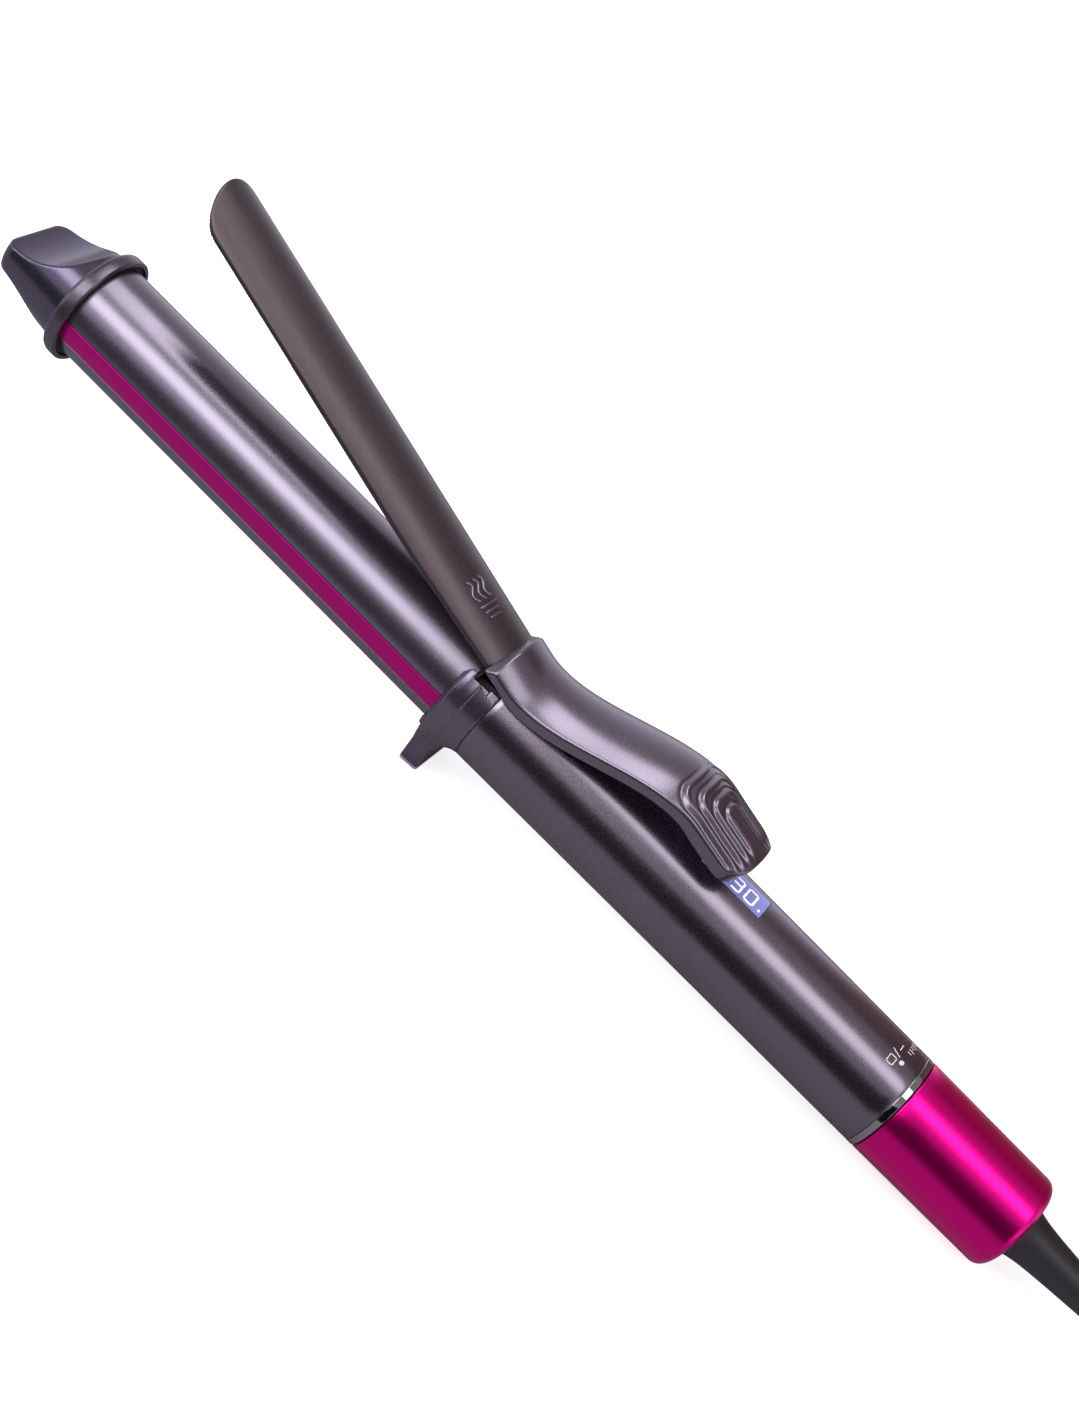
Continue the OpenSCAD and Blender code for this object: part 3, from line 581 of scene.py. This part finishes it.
def collar_field(x, y, z):
    """A rim and a taper round the barrel's root, a fin to stand on, and a saddle for the clamp's parts."""
    radius = np.hypot(y, z)
    front = (radius - 14.4 - (x - COLLAR_X0) * FRONT_SLOPE) / math.hypot(1, FRONT_SLOPE)
    rim = cut(cut(front, radius - COLLAR_R, 0.5), x - RIM_X1 - 0.1, 0.45)
    taper = (radius - 16.05 - (x + 5.1) * BACK_SLOPE) / math.hypot(1, BACK_SLOPE)
    tail = cut(cut(taper, -9 - x, 0.2), x + 0.12, 0.22)
    body = join(rim, tail, 0.25)
    line = np.maximum((-11.2 - (z + 16) / 24.0 - x), x - np.interp(z, (-40, -20.5), (-4.5, -5.2)))
    side = np.abs(y) - np.interp(z, (-40, -24, -14), (8.4, 8.8, 9.4))
    fin = cut(cut(line, side, 0.9), z + 9, 0.2)
    body = join(body, fin, FIN_JOIN)
    body = cut(body, np.where(radius > COLLAR_R - 0.3, -11.4 - x, -9.0), 0.1)
    bore = radius - np.where(x < -8.5, BARREL_R + np.interp(x, (-10.6, -10.2), (0.42, 0.12)), BORE_R + 0.05)
    body = cut(body, -bore, 0.12)
    saddle = np.maximum(np.abs(y) - np.interp(x, (-8.5, -8.2), (11.2, 12.3)),
                        np.interp(x, (-3.3, -3.0), (14.4, 15.0)) - radius)
    slot = np.abs(y) - np.interp(x, (-7.8, -7.5), (11.2, 10.5))
    body = cut(body, -np.maximum(np.minimum(saddle, slot), 8.6 - z), 0.25)
    table = LIFT + z * math.cos(NOSE_UP) - x * math.sin(NOSE_UP)
    return cut(body, -table, 0.3)


solid("collar_skin", collar_field, (-12.4, -17.6, -28.6), (0.7, 17.6, 17.6), 0.36, "collar",
      replaces=["collar_stand"])

# ---------------------------------------------------------------- handle
HANDLE_LEN, WALL = 135.2, 1.7
WINDOW_X0, WINDOW_X1, WINDOW_HALF = 62.0, 81.8, 16.3  # the last in degrees
POCKET_X1, POCKET_HALF = 22.0, 9.2  # the open pocket that the clamp's hinge sits in


def handle_r(x):
    return 15.2 - 0.9 * x / HANDLE_LEN


def add_handle():
    """A tube of quads with two openings on top, its inner wall joined to its outer one at every edge."""
    xs = [0.0, 0.25, 1.5, 3, 5, 7, 9.0, 11, 14, 17, 20, POCKET_X1] + list(np.linspace(26, 58, 9))
    xs += [WINDOW_X0, 67, 72, 77, WINDOW_X1] + list(np.linspace(86, 132, 12))
    xs += [HANDLE_LEN - 0.25, HANDLE_LEN]
    columns, window_columns, pocket_columns = 38, 5, 11

    def ring(x, r):
        """Angles from the top, with columns kept on the edges of the openings."""
        window = math.radians(WINDOW_HALF)
        pocket = math.asin(POCKET_HALF / handle_r(x))
        marks = [0, window, pocket, math.pi]
        counts = [window_columns, pocket_columns - window_columns, columns - pocket_columns]
        half = [0.0]
        for a, b, n in zip(marks, marks[1:], counts):
            half += list(np.linspace(a, b, n + 1)[1:])
        angles = half + [-a for a in half[1:-1][::-1]]
        return [[x, r * math.sin(a), r * math.cos(a)] for a in angles]

    cols = 2 * columns

    def is_open(i, k):
        column = k if k < columns else cols - 1 - k
        x = (xs[i] + xs[i + 1]) / 2
        if column < window_columns and WINDOW_X0 < x < WINDOW_X1:
            return True
        return x < POCKET_X1 and column < pocket_columns

    outer, inner = [], []
    for x in xs:
        soft = 0.18 if x in (xs[0], xs[-1]) else 0
        outer += ring(x, handle_r(x) - soft)
        inner += ring(x, handle_r(x) - WALL)
    points = outer + inner
    base = len(outer)
    faces = []
    n = len(xs) - 1
    for i in range(-1, n + 1):
        for k in range(cols):
            gone = i < 0 or i >= n or is_open(i, k)
            a, b = i * cols + k, i * cols + (k + 1) % cols
            c, d = a + cols, b + cols
            if not gone:
                faces += [(a, c, d, b), (base + a, base + b, base + d, base + c)]
                if is_open(i, (k + 1) % cols):
                    faces.append((b, d, base + d, base + b))
                if is_open(i, (k - 1) % cols):
                    faces.append((c, a, base + a, base + c))
                if i == 0 or is_open(i - 1, k):
                    faces.append((a, b, base + b, base + a))
                if i == n - 1 or is_open(i + 1, k):
                    faces.append((d, c, base + c, base + d))
    used = sorted({v for f in faces for v in f})
    number = {v: i for i, v in enumerate(used)}
    piece("handle_skin", [points[v] for v in used], [tuple(number[v] for v in f) for f in faces], "handle",
          replaces=["handle_shell"], sharp=40)


def patch(name, x0, x1, half, r_out, r_in, material, **more):
    """A curved panel about the top of the handle, with a small bevel round its face."""
    bevel = 0.15
    rows, cols = 9, 17
    points = []
    for level, shrink in ((r_in, 0.0), (r_out - bevel, 0.0), (r_out, bevel)):
        for x in np.linspace(x0 + shrink, x1 - shrink, rows):
            for a in np.linspace(-half, half, cols):
                a *= 1 - math.degrees(shrink / 15) / half
                r = handle_r(x) + level
                points.append([x, r * math.sin(math.radians(a)), r * math.cos(math.radians(a))])
    size = rows * cols
    top = [(2 * size + a, 2 * size + d, 2 * size + c, 2 * size + b)
           for a, b, c, d in grid_faces(rows, cols, wrap_cols=False)]
    bottom = grid_faces(rows, cols, wrap_cols=False)
    edge = list(range(cols)) + [i * cols + cols - 1 for i in range(1, rows)]
    edge += [(rows - 1) * cols + k for k in range(cols - 2, -1, -1)]
    edge += [i * cols for i in range(rows - 2, 0, -1)]
    walls = [(level * size + edge[i], level * size + edge[(i + 1) % len(edge)],
              (level + 1) * size + edge[(i + 1) % len(edge)], (level + 1) * size + edge[i])
             for level in (0, 1) for i in range(len(edge))]
    walls = [w[::-1] for w in walls]
    return piece(name, points, top + bottom + walls, material, **more)


def ribbon(path, width, radius, low, high):
    """Points and faces of a raised, round-ended stroke along (x, degrees) points on a drum of radius(x).

    Degrees run from the near side up over the top.
    """
    path = np.array([[x, math.radians(a) * radius(x)] for x, a in path])
    fine = [path[0]]
    for a, b in zip(path, path[1:]):
        n = max(1, int(np.linalg.norm(b - a) / 0.35))
        fine += [a + (b - a) * (k + 1) / n for k in range(n)]
    fine = np.array(fine)
    ahead = np.gradient(fine, axis=0)
    ahead /= np.linalg.norm(ahead, axis=1)[:, None]
    across = np.stack([-ahead[:, 1], ahead[:, 0]], 1)
    centre = [(p, c, width / 2) for p, c in zip(fine, across)]
    round_off = [0.2, 0.6, 0.9]
    first = [(fine[0] - ahead[0] * width / 2 * math.cos(math.asin(w)), across[0], width / 2 * w)
             for w in round_off]
    last = [(fine[-1] + ahead[-1] * width / 2 * math.cos(math.asin(w)), across[-1], width / 2 * w)
            for w in round_off[::-1]]
    centre = first + centre + last
    middle = (low + high) / 2
    section = ((-1, low), (-1, middle), (-0.6, high), (0.6, high), (1, middle), (1, low))
    points, m = [], len(section)
    for p, c, w in centre:
        for u, h in section:
            q = p + c * u * w
            r = radius(q[0])
            a = q[1] / r
            points.append([q[0], -(r + h) * math.cos(a), (r + h) * math.sin(a)])
    faces = grid_faces(len(centre), m)
    faces += [tuple(range(m))[::-1], tuple(range(len(points) - m, len(points)))]
    return points, faces


def strokes(name, paths, width, radius, material, low=-0.08, high=0.05, **more):
    """One piece of many strokes."""
    points, faces = [], []
    for path in paths:
        p, f = ribbon(path, width, radius, low, high)
        faces += [tuple(v + len(points) for v in face) for face in f]
        points += p
    return piece(name, points, faces, material, **more)


BAR_GAP = 0.17


def digit(character, x, a0, wide, tall):
    """A rounded seven-bar digit as paths of (x, degrees), read along x with its top up."""
    bars = {"0": "abcdef", "1": "bc", "3": "abcdg", "4": "bcfg"}[character]
    ends = {"a": ((0, 1), (1, 1)), "b": ((1, 1), (1, 0.5)), "c": ((1, 0.5), (1, 0)), "d": ((0, 0), (1, 0)),
            "e": ((0, 0), (0, 0.5)), "f": ((0, 0.5), (0, 1)), "g": ((0, 0.5), (1, 0.5))}
    paths = []
    for bar in bars:
        (u0, v0), (u1, v1) = ends[bar]
        du, dv = (u1 - u0), (v1 - v0)
        paths.append([(x + wide * (u0 + du * BAR_GAP), a0 + tall * (v0 + dv * BAR_GAP)),
                      (x + wide * (u1 - du * BAR_GAP), a0 + tall * (v1 - dv * BAR_GAP))])
    return paths


add_handle()
patch("display_panel", WINDOW_X0 + 0.12, WINDOW_X1 - 0.12, WINDOW_HALF - 0.25, -0.02, -2.2, "window",
      replaces=["display_lens"])
digits = [path for character, x in (("4", 66.9), ("3", 71.1), ("0", 75.6))
          for path in digit(character, x, 78.3, 2.8, 17.0)]
degree_mark = [(80.5, 79.6), (80.5, 80.6)]
strokes("display_digits", digits + [degree_mark], 0.66, lambda x: handle_r(x) - 0.02, "digits",
        slot="display_window")

# in place of the printed words: an index dot, 0 and 1 with a slash, and a row of short ticks
dot = [[(130.3, 72.9), (130.32, 73.1)]]
strokes("index_dot", dot, 1.45, handle_r, "print", high=0.03, slot="handle_plastic")
marks = digit("0", 126.9, 63, 1.9, 9.5) + [[(129.0, 76.5), (126.6, 79.5)]] + digit("1", 125.6, 83, 2.6, 9.5)
marks += [[(130.0, a), (130.9 + 0.5 * (i % 2), a)] for i, a in enumerate(range(90, 116, 5))]
strokes("switch_marks", marks, 0.34, handle_r, "print", high=0.03, slot="handle_plastic")

# ---------------------------------------------------------------- trim ring, dial and boot
RING_W = 1.9
DIAL_X0 = HANDLE_LEN + RING_W + 0.3
DIAL_LEN, DIAL_R, DIAL_TAPER = 41.0, 14.28, 0.36
DIAL_X1 = DIAL_X0 + DIAL_LEN
DIAL_PROUD, DIAL_CORNER = 1.0, 3.0  # the dial in the photo is a little longer than its CAD solid
turned("trim_ring_skin", rounded([
    (HANDLE_LEN + 0.05, 11.9), (HANDLE_LEN + 0.05, 14.33, 0.25), (HANDLE_LEN + RING_W - 0.05, 14.31, 0.25),
    (HANDLE_LEN + RING_W - 0.05, 11.9)]), "chrome", replaces=["trim_ring"])


def add_dial():
    bore, mouth = 12.32, 9.25
    end = DIAL_X1 + DIAL_PROUD
    outline = [(DIAL_X0, bore), (DIAL_X0, 13.9), (DIAL_X0 + 0.1, 14.16), (DIAL_X0 + 0.35, DIAL_R)]
    outline += [(x, DIAL_R - DIAL_TAPER * (x - DIAL_X0) / DIAL_LEN)
                for x in np.linspace(DIAL_X0 + 6, end - 3.2, 7)]
    outline += [(end - DIAL_CORNER + DIAL_CORNER * math.sin(a),
                 DIAL_R - DIAL_TAPER - DIAL_CORNER + DIAL_CORNER * math.cos(a))
                for a in np.linspace(0, math.pi / 2, 14)]
    outline += [(end, 9.5), (end - 0.1, 9.32), (end - 0.3, mouth), (end - 2.8, mouth), (end - 4.4, bore)]
    turned("dial_skin", outline, "dial", body="dial", replaces=["dial_sleeve"], sharp=40)


def boot_r(x):
    """A slow taper to the cord, with a quick flare where the boot leaves the dial."""
    d = x - DIAL_X1
    return 3.9 + 2.6 * max(0.0, 1 - d / 36) + 1.8 * math.exp(-max(0.0, d) / 3.5)


def add_boot():
    """The strain relief, with its core and its groove inside the dial."""
    core_x, core_r, neck_r, flange_r, axis = 153.1, 7.35, 6.3, 8.3, 0.01
    low = DIAL_X1 - 8
    outline = [(core_x, axis), (core_x, core_r), (low - 0.3, core_r), (low - 0.3, neck_r),
               (low + 2.7, neck_r), (low + 2.7, flange_r), (DIAL_X1 + 0.1, flange_r)]
    outline += [(x, boot_r(x)) for x in DIAL_X1 + 0.3 + 35.4 * np.linspace(0, 1, 26) ** 1.7]
    outline += [(BOOT_END, 3.72), (BOOT_END + 0.02, 3.05), (BOOT_END - 1.5, 3.0), (BOOT_END - 1.5, axis)]
    turned("boot_skin", outline, "boot", segments=96, body="swivel", replaces=["swivel_boot"])


add_dial()
add_boot()

# ---------------------------------------------------------------- spoon of the clamp
PLATE_IN, PLATE_OUT = 14.1, 15.0
SPOON_X0, SPOON_X1, SPOON_HALF = -128.6, -8.1, 11.4  # X0 is the middle of its round end
TONGUE_X1, TONGUE_HALF = -1.2, 10.2
KNUCKLE_X1, KNUCKLE_HALF = 12.1, 7.6
EAR_R, EAR_Y, EAR_T, PIN_HOLE_R = 3.0, 6.75, 1.5, 1.55


def plate_field(x, y, z):
    """A curved sheet: spoon, tongue under the lever, knuckle, and two ears on the hinge pin."""
    radius, pin = np.hypot(y, z), np.hypot(x - HINGE[0], z - HINGE[2])
    sheet = np.maximum(radius - PLATE_OUT, PLATE_IN - radius)
    half = np.interp(x, (SPOON_X0, -40, SPOON_X1), (SPOON_HALF, 11.6, 10.9))
    spoon = np.where(x < SPOON_X0, np.hypot(x - SPOON_X0, y) - SPOON_HALF, np.abs(y) - half)
    spoon = np.maximum(spoon, x - SPOON_X1)
    tongue = np.maximum(np.maximum(np.abs(y) - TONGUE_HALF, x - TONGUE_X1), -12 - x)
    knuckle = np.maximum(np.maximum(np.abs(y) - KNUCKLE_HALF, x - KNUCKLE_X1), -4 - x)
    plan = np.minimum(np.minimum(spoon, tongue), knuckle)
    body = cut(np.maximum(plan, -z), sheet, 0.28)
    ear = np.minimum(pin - EAR_R, np.maximum(np.abs(x - HINGE[0]) - EAR_R, HINGE[2] - z))
    ear = np.maximum(np.maximum(ear, np.abs(np.abs(y) - EAR_Y) - EAR_T / 2), radius - 14.6)
    return np.maximum(np.minimum(body, ear), PIN_HOLE_R - pin)


solid("spoon_skin", plate_field, (-140.8, -12.4, 6.4), (13.8, 12.4, 15.6), 0.34, "clamp", body="clamp",
      turn=CLAMP_OPEN, replaces=["clamp_plate"])


def add_mark():
    """A generic raised heat mark: three waves beside three bars, in place of the photographed label."""
    waves = [[(x, a + 2.6 * math.sin((x + 28) * 1.25)) for x in np.linspace(-28.2, -22.6, 15)]
             for a in (70, 78, 86)]
    bars = [[(x, 68 + 2 * i), (x + 0.2, 90 - 2 * i)] for i, x in enumerate((-21.0, -19.4, -17.8))]
    strokes("heat_mark", waves + bars, 0.75, lambda _: PLATE_OUT, "barrel", low=-0.15, high=0.34,
            body="clamp", turn=CLAMP_OPEN, sharp=60, slot="clamp_coating")


add_mark()

# ---------------------------------------------------------------- thumb lever
LEVER_X0, LEVER_X1, LEVER_HALF = -8.1, 66.0, 12.2
LEVER_T, LEVER_SIDE = 2.05, 1.7
RIDGES = ((40.6, 9.7, 4.5), (44.2, 7.5, 4.0), (47.7, 5.2, 3.0), (51.0, 2.85, 2.5))  # left, leg, corner
RIDGE_HIGH, RIDGE_HALF, VALLEY_DEEP, VALLEY_HALF, VALLEY_AT = 0.46, 0.6, 0.3, 0.5, 1.05


def lever_edge(x):
    """Height of the lever's long edges: up from the hinge and level along the pad."""
    return 12 + 25.7 * ease((x + 2) / 52) + 0.5 * ease((x - 50) / 16)


def lever_crown(x, y):
    """Height of the top, an arc across the lever that is flatter on the pad."""
    sag = 5.1 - 1.1 * ease((x + 8) / 40)
    r = (LEVER_HALF ** 2 + sag * sag) / 2 / sag
    y = np.clip(y, -LEVER_HALF - 1, LEVER_HALF + 1)
    return lever_edge(x) + sag - r + np.sqrt(np.maximum(r * r - y * y, 1))


def thumb_ridges(x, y):
    """Height of the nested raised arches on the pad, open towards the tail."""
    height = np.zeros_like(x)
    for left, leg, corner in RIDGES:
        d = cut(left - x, np.abs(y) - leg, corner)
        height += RIDGE_HIGH * np.exp(-(d / RIDGE_HALF) ** 2)
        height -= VALLEY_DEEP * np.exp(-((d - VALLEY_AT) / VALLEY_HALF) ** 2)
    return height * (1 - ease((x - 60.5) / 5))


def lever_field(x, y, z):
    """A hollow shell with a rounded plan, raised ridges, and a front end cut clear of the spoon."""
    slope = (lever_edge(x + 0.5) - lever_edge(x - 0.5))
    stretch = np.sqrt(1 + slope * slope)
    top = (z - lever_crown(x, y) - thumb_ridges(x, y)) / stretch
    lip = lever_edge(x) - (2.5 + 0.6 * ease((x + 2) / 8) + 0.5 * ease((x - 42) / 12)) * stretch
    half = LEVER_HALF - 0.5 * ease((x - 40) / 20)
    plan = cut(x - LEVER_X1, np.abs(y) - half, 6.0)
    height = np.hypot(y, z) - PLATE_OUT
    slant = 1.15 + 1.2 * (y / LEVER_HALF) ** 2
    front = (LEVER_X0 + slant * np.clip(height / 2.1, 0, 1.5) - x) / 1.4
    outer = cut(cut(top, plan, 0.55), front, 0.35)
    outer = cut(outer, (lip - z) / stretch, 0.25)
    under = (z - lever_crown(x, y) + LEVER_T * stretch) / stretch
    room = cut(np.maximum(under, plan + LEVER_SIDE), LEVER_X0 + 1.2 - x, 0.6)
    body = np.maximum(outer, -room)
    clear = np.where(x < -3.7, -0.45, 0.35)
    return np.maximum(body, np.where(x < HINGE[0], clear - height, -9.0))


solid("lever_skin", lever_field, (-9.2, -12.9, 9.0), (66.9, 12.9, 42.8), 0.27, "lever", body="clamp",
      turn=CLAMP_OPEN, replaces=["clamp_lever"])

# ---------------------------------------------------------------- plug and strap (mm, row frame)
PLUG_AT = cord_points[-1] * 1000
PLUG_LEN, SLEEVE_LEN = 38.0, 16
BLADE_LEN, BLADE_APART, BLADE_T, BLADE_W = 17.0, 12.7, 1.5, 6.4


def plug_field(x, y, z):
    """A ribbed sleeve round the cord, then a waisted grip with fine ribs on its sides."""
    d, y, z = PLUG_AT[0] - x, y - PLUG_AT[1], z - PLUG_AT[2]
    radius = np.hypot(y, z)
    sleeve = cut(cut(radius - 3.7 - np.clip(d, 0, SLEEVE_LEN) * 0.17, -d, 0.5), d - SLEEVE_LEN, 0.5)
    for k in range(4):
        sleeve = np.maximum(sleeve, -(np.hypot(d - 2.6 - 2.9 * k, radius - 5.0 - 0.5 * k) - 0.75))
    waist = 1.1 * np.exp(-((d - 24) / 6.5) ** 2)
    body = cut(cut(np.abs(y) - 11.9 + waist, np.abs(z) - 7.9 + 0.5 * waist, 4.2), np.abs(d - 26) - 11.95, 1.6)
    ribs = np.where(np.abs(z) < 5.5, 0.28 * np.cos(2 * math.pi * (d - 24) / 2.4), 0.0)
    ribs = ribs * np.clip((8.4 - np.abs(d - 24)) / 1.5, 0, 1) * (np.abs(y) > 8)
    body = body - ribs
    hollow = cut(radius - 3.06, d - 1.2, 0.2)
    return np.maximum(join(sleeve, body, 1.6), -hollow)


solid("plug_skin", plug_field, PLUG_AT - (PLUG_LEN + 1, 12.8, 8.8), PLUG_AT + (1.2, 12.8, 8.8), 0.5, "plug",
      world=True, replaces=["plug_body"])


def add_blades():
    """Two flat blades with bevelled ends."""
    points, faces = [], []
    stations = ((-2.0, 0), (0.0, 0), (14.6, 0), (16.2, 0.22), (BLADE_LEN, 0.45))
    u, v = BLADE_T / 2, BLADE_W / 2
    for side in (-1, 1):
        start = len(points)
        for x, squeeze in stations:
            for du, dv in ((-u, -v), (u, -v), (u, v), (-u, v)):
                points.append([PLUG_AT[0] - PLUG_LEN - x,
                               PLUG_AT[1] + side * BLADE_APART / 2 + du * (1 - squeeze),
                               PLUG_AT[2] + dv * (1 - squeeze * 0.5)])
        end = len(points)
        faces += [tuple(start + k for k in f)[::-1] for f in grid_faces(len(stations), 4)]
        faces += [tuple(range(start, start + 4)), tuple(range(end - 4, end))[::-1]]
    piece("plug_blades_skin", np.array(points) / 1000, faces, "blade", world=True, replaces=["plug_blades"])


def add_strap():
    """A hook-and-loop strap round the waist of the hank, its free end lapped over on top."""
    low, high, half, thick, wide, bevel = 0.12, 18.68, 14.4, 0.6, 6, 0.1
    flat = wide - 0.2
    section = ((-wide, bevel), (-flat, 0), (flat, 0), (wide, bevel), (wide, thick - bevel), (flat, thick),
               (-flat, thick), (-wide, thick - bevel))
    closed = rounded([(-half, low, 5), (half, low, 5), (half, high, 5), (-half, high, 5)], 8)

    def strip(path):
        """Points of a flat band along a (y, z) path, thick outwards."""
        path = np.array(path)
        ahead = np.gradient(path, axis=0)
        ahead /= np.linalg.norm(ahead, axis=1)[:, None]
        out = np.stack([ahead[:, 1], -ahead[:, 0]], 1)
        rows = []
        for p, n in zip(path, out):
            for x, h in section:
                q = p + n * h
                rows.append([HANK_X + x, HANK_Y + q[0], FLOOR_GAP + q[1]])
        return rows

    path = list(closed) + [closed[0]]
    dense = []
    for a, b in zip(path, path[1:]):
        n = max(1, int(np.linalg.norm(b - a) / 1.5))
        dense += [a + (b - a) * k / n for k in range(n)]
    m = len(section)
    rows = strip(dense + [dense[0]])[:-m]
    faces = grid_faces(len(rows) // m, m, wrap_rows=True)
    lap = [(y, high + thick + 0.02) for y in np.linspace(8.5, -9.5, 13)]
    more = strip(lap)
    base = len(rows)
    faces += [tuple(base + v for v in f) for f in grid_faces(len(lap), m)]
    faces += [tuple(base + k for k in range(m))[::-1], tuple(base + (len(lap) - 1) * m + k for k in range(m))]
    piece("cord_strap", np.array(rows + more) / 1000, faces, "tie", world=True, replaces=["cord_tie"])


add_blades()
add_strap()

# ---------------------------------------------------------------- finishes of the CAD solids that are kept
KEPT = {
    "heater_plate": "ceramic", "heat_shoe_upper": "aluminium", "heat_shoe_lower": "aluminium",
    "thermistor": "bead", "thermal_fuse": "sleeve", "barrel_socket": "nylon", "hinge_bracket": "steel",
    "hinge_pin": "steel", "pin_clips": "steel", "clamp_spring": "steel", "clamp_screws": "steel",
    "display_module": "block", "main_board": "board", "board_carrier": "carrier", "board_screws": "steel",
    "film_capacitor": "film", "terminal_block": "terminal", "heater_leads": "lead", "mains_leads": "lead",
    "tail_spindle": "nylon", "encoder_ring": "board", "brush_holder": "carrier", "brush_contacts": "brass",
    "spindle_cap": "nylon", "dial_hub": "carrier", "slip_rings": "brass"}
for node, material in KEPT.items():
    for place in frame["nodes"][node].material_slots:
        place.link = "OBJECT"
        place.material = MATERIALS[material]


# ---------------------------------------------------------------- floor, lights and reflections
def simple(name, colour, rough):
    """A matt finish for the floor and the cards."""
    n = Nodes(name)
    n.base(0.0, 0.2)
    n.shader.inputs["Roughness"].default_value = rough
    n.link(n.mix(n.spread(n.noise(3.0), 0, 1), scaled(colour, 0.995), colour), n.shader.inputs["Base Color"])
    return n.mat


def sheet(name, corners, material):
    """A flat four-cornered stage piece."""
    mesh = bpy.data.meshes.new(name)
    mesh.from_pydata([tuple(c) for c in corners], [], [tuple(range(len(corners)))])
    mesh.materials.append(material)
    ob = bpy.data.objects.new(name, mesh)
    bpy.context.scene.collection.objects.link(ob)
    return ob


def softbox(name, at, target, size, watts):
    """A rectangular light, its first side along the tool, that isn't seen itself."""
    light = bpy.data.lights.new(name, "AREA")
    light.shape = "RECTANGLE"
    light.size, light.size_y = size
    light.energy = watts
    ob = bpy.data.objects.new(name, light)
    at, target = Vector(at), Vector(target)
    back = (at - target).normalized()
    along = Vector((1, 0, 0))
    along = (along - back * along.dot(back)).normalized()
    ob.matrix_world = Matrix.Translation(at) @ Matrix((along, back.cross(along), back)).transposed().to_4x4()
    bpy.context.scene.collection.objects.link(ob)
    ob.visible_camera = False


def add_world():
    """A pale sky, brightest at the horizon and darker overhead."""
    world = bpy.data.worlds.new("studio")
    world.use_nodes = True
    tree = world.node_tree
    back = tree.nodes["Background"]
    coord = tree.nodes.new("ShaderNodeTexCoord")
    split = tree.nodes.new("ShaderNodeSeparateXYZ")
    fall = tree.nodes.new("ShaderNodeMapRange")
    fall.interpolation_type = "SMOOTHSTEP"
    for key, value in (("From Min", 0.0), ("From Max", 0.85), ("To Min", 0.0), ("To Max", 1.0)):
        fall.inputs[key].default_value = value
    tint = tree.nodes.new("ShaderNodeMix")
    tint.data_type = "RGBA"
    tint.inputs["A"].default_value = (0.92, 0.90, 1.0, 1)
    tint.inputs["B"].default_value = (0.32, 0.29, 0.29, 1)
    tree.links.new(coord.outputs["Generated"], split.inputs[0])
    tree.links.new(split.outputs["Z"], fall.inputs["Value"])
    tree.links.new(fall.outputs["Result"], tint.inputs["Factor"])
    tree.links.new(tint.outputs["Result"], back.inputs["Color"])
    bpy.context.scene.world = world


FLOOR_HALF, FLOOR_GLOW = 60, 0.70
LAMP_FAR, LAMP_WIDE, AXIS_HIGH = 0.6, 0.25, 0.035
CARD_X0, CARD_X1, CARD_Z = -0.45, 0.40, 0.001
WALL_Y, TAIL_Y, TAIL_X0, TAIL_SIZE = -0.25, 0.45, 0.14, 0.9


def add_studio():
    bpy.context.scene.view_settings.view_transform = "Standard"
    add_world()
    floor = simple("floor_white", (0.9, 0.9, 0.9), 0.8)
    shader = floor.node_tree.nodes["Principled BSDF"]
    shader.inputs["Emission Color"].default_value = (1, 1, 1, 1)
    shader.inputs["Emission Strength"].default_value = FLOOR_GLOW
    corners = ((-1, -1), (1, -1), (1, 1), (-1, 1))
    sheet("floor", [(u * FLOOR_HALF, v * FLOOR_HALF, 0) for u, v in corners], floor)

    for name, x, rise, watts in (("key_tip", -0.45, 46, 2.2), ("key_tail", 0.35, 70, 1.35)):
        back, up = LAMP_FAR * math.cos(math.radians(rise)), LAMP_FAR * math.sin(math.radians(rise))
        softbox(name, (x, -back, AXIS_HIGH + up), (x, 0, AXIS_HIGH), (0.76, LAMP_WIDE), watts)
    softbox("top_box", (-0.20, 0.03, 0.53), (0, 0, 0.05), (0.21, 0.32), 0.74)

    # cards that only the gloss of the tool sees
    black = simple("card_black", (0.004, 0.004, 0.004), 0.9)
    brown = simple("card_brown", (0.15, 0.08, 0.065), 0.9)
    grey = simple("card_grey", (0.33, 0.32, 0.34), 0.9)
    a, b, z = CARD_X0, CARD_X1, CARD_Z
    near_edge = [(a, -0.04, z), (b, -0.20, z)]
    for name, corners, material in (
            ("flag_floor", near_edge + [(b, WALL_Y, z), (a, WALL_Y, z)], black),
            ("flag_wall", [(a, WALL_Y, z), (b, WALL_Y, z), (b, WALL_Y, 0.243), (a, WALL_Y, 0.05)], black),
            ("flag_tail", [(TAIL_X0, TAIL_Y, 0), (TAIL_SIZE, TAIL_Y, 0), (TAIL_SIZE, TAIL_Y, TAIL_SIZE),
                           (TAIL_X0, TAIL_Y, TAIL_SIZE)], brown),
            ("card_floor", near_edge + [(b, 0.35, z), (a, 0.35, z)], grey)):
        ob = sheet(name, corners, material)
        ob.visible_camera = ob.visible_diffuse = ob.visible_shadow = ob.visible_transmission = False


add_studio()
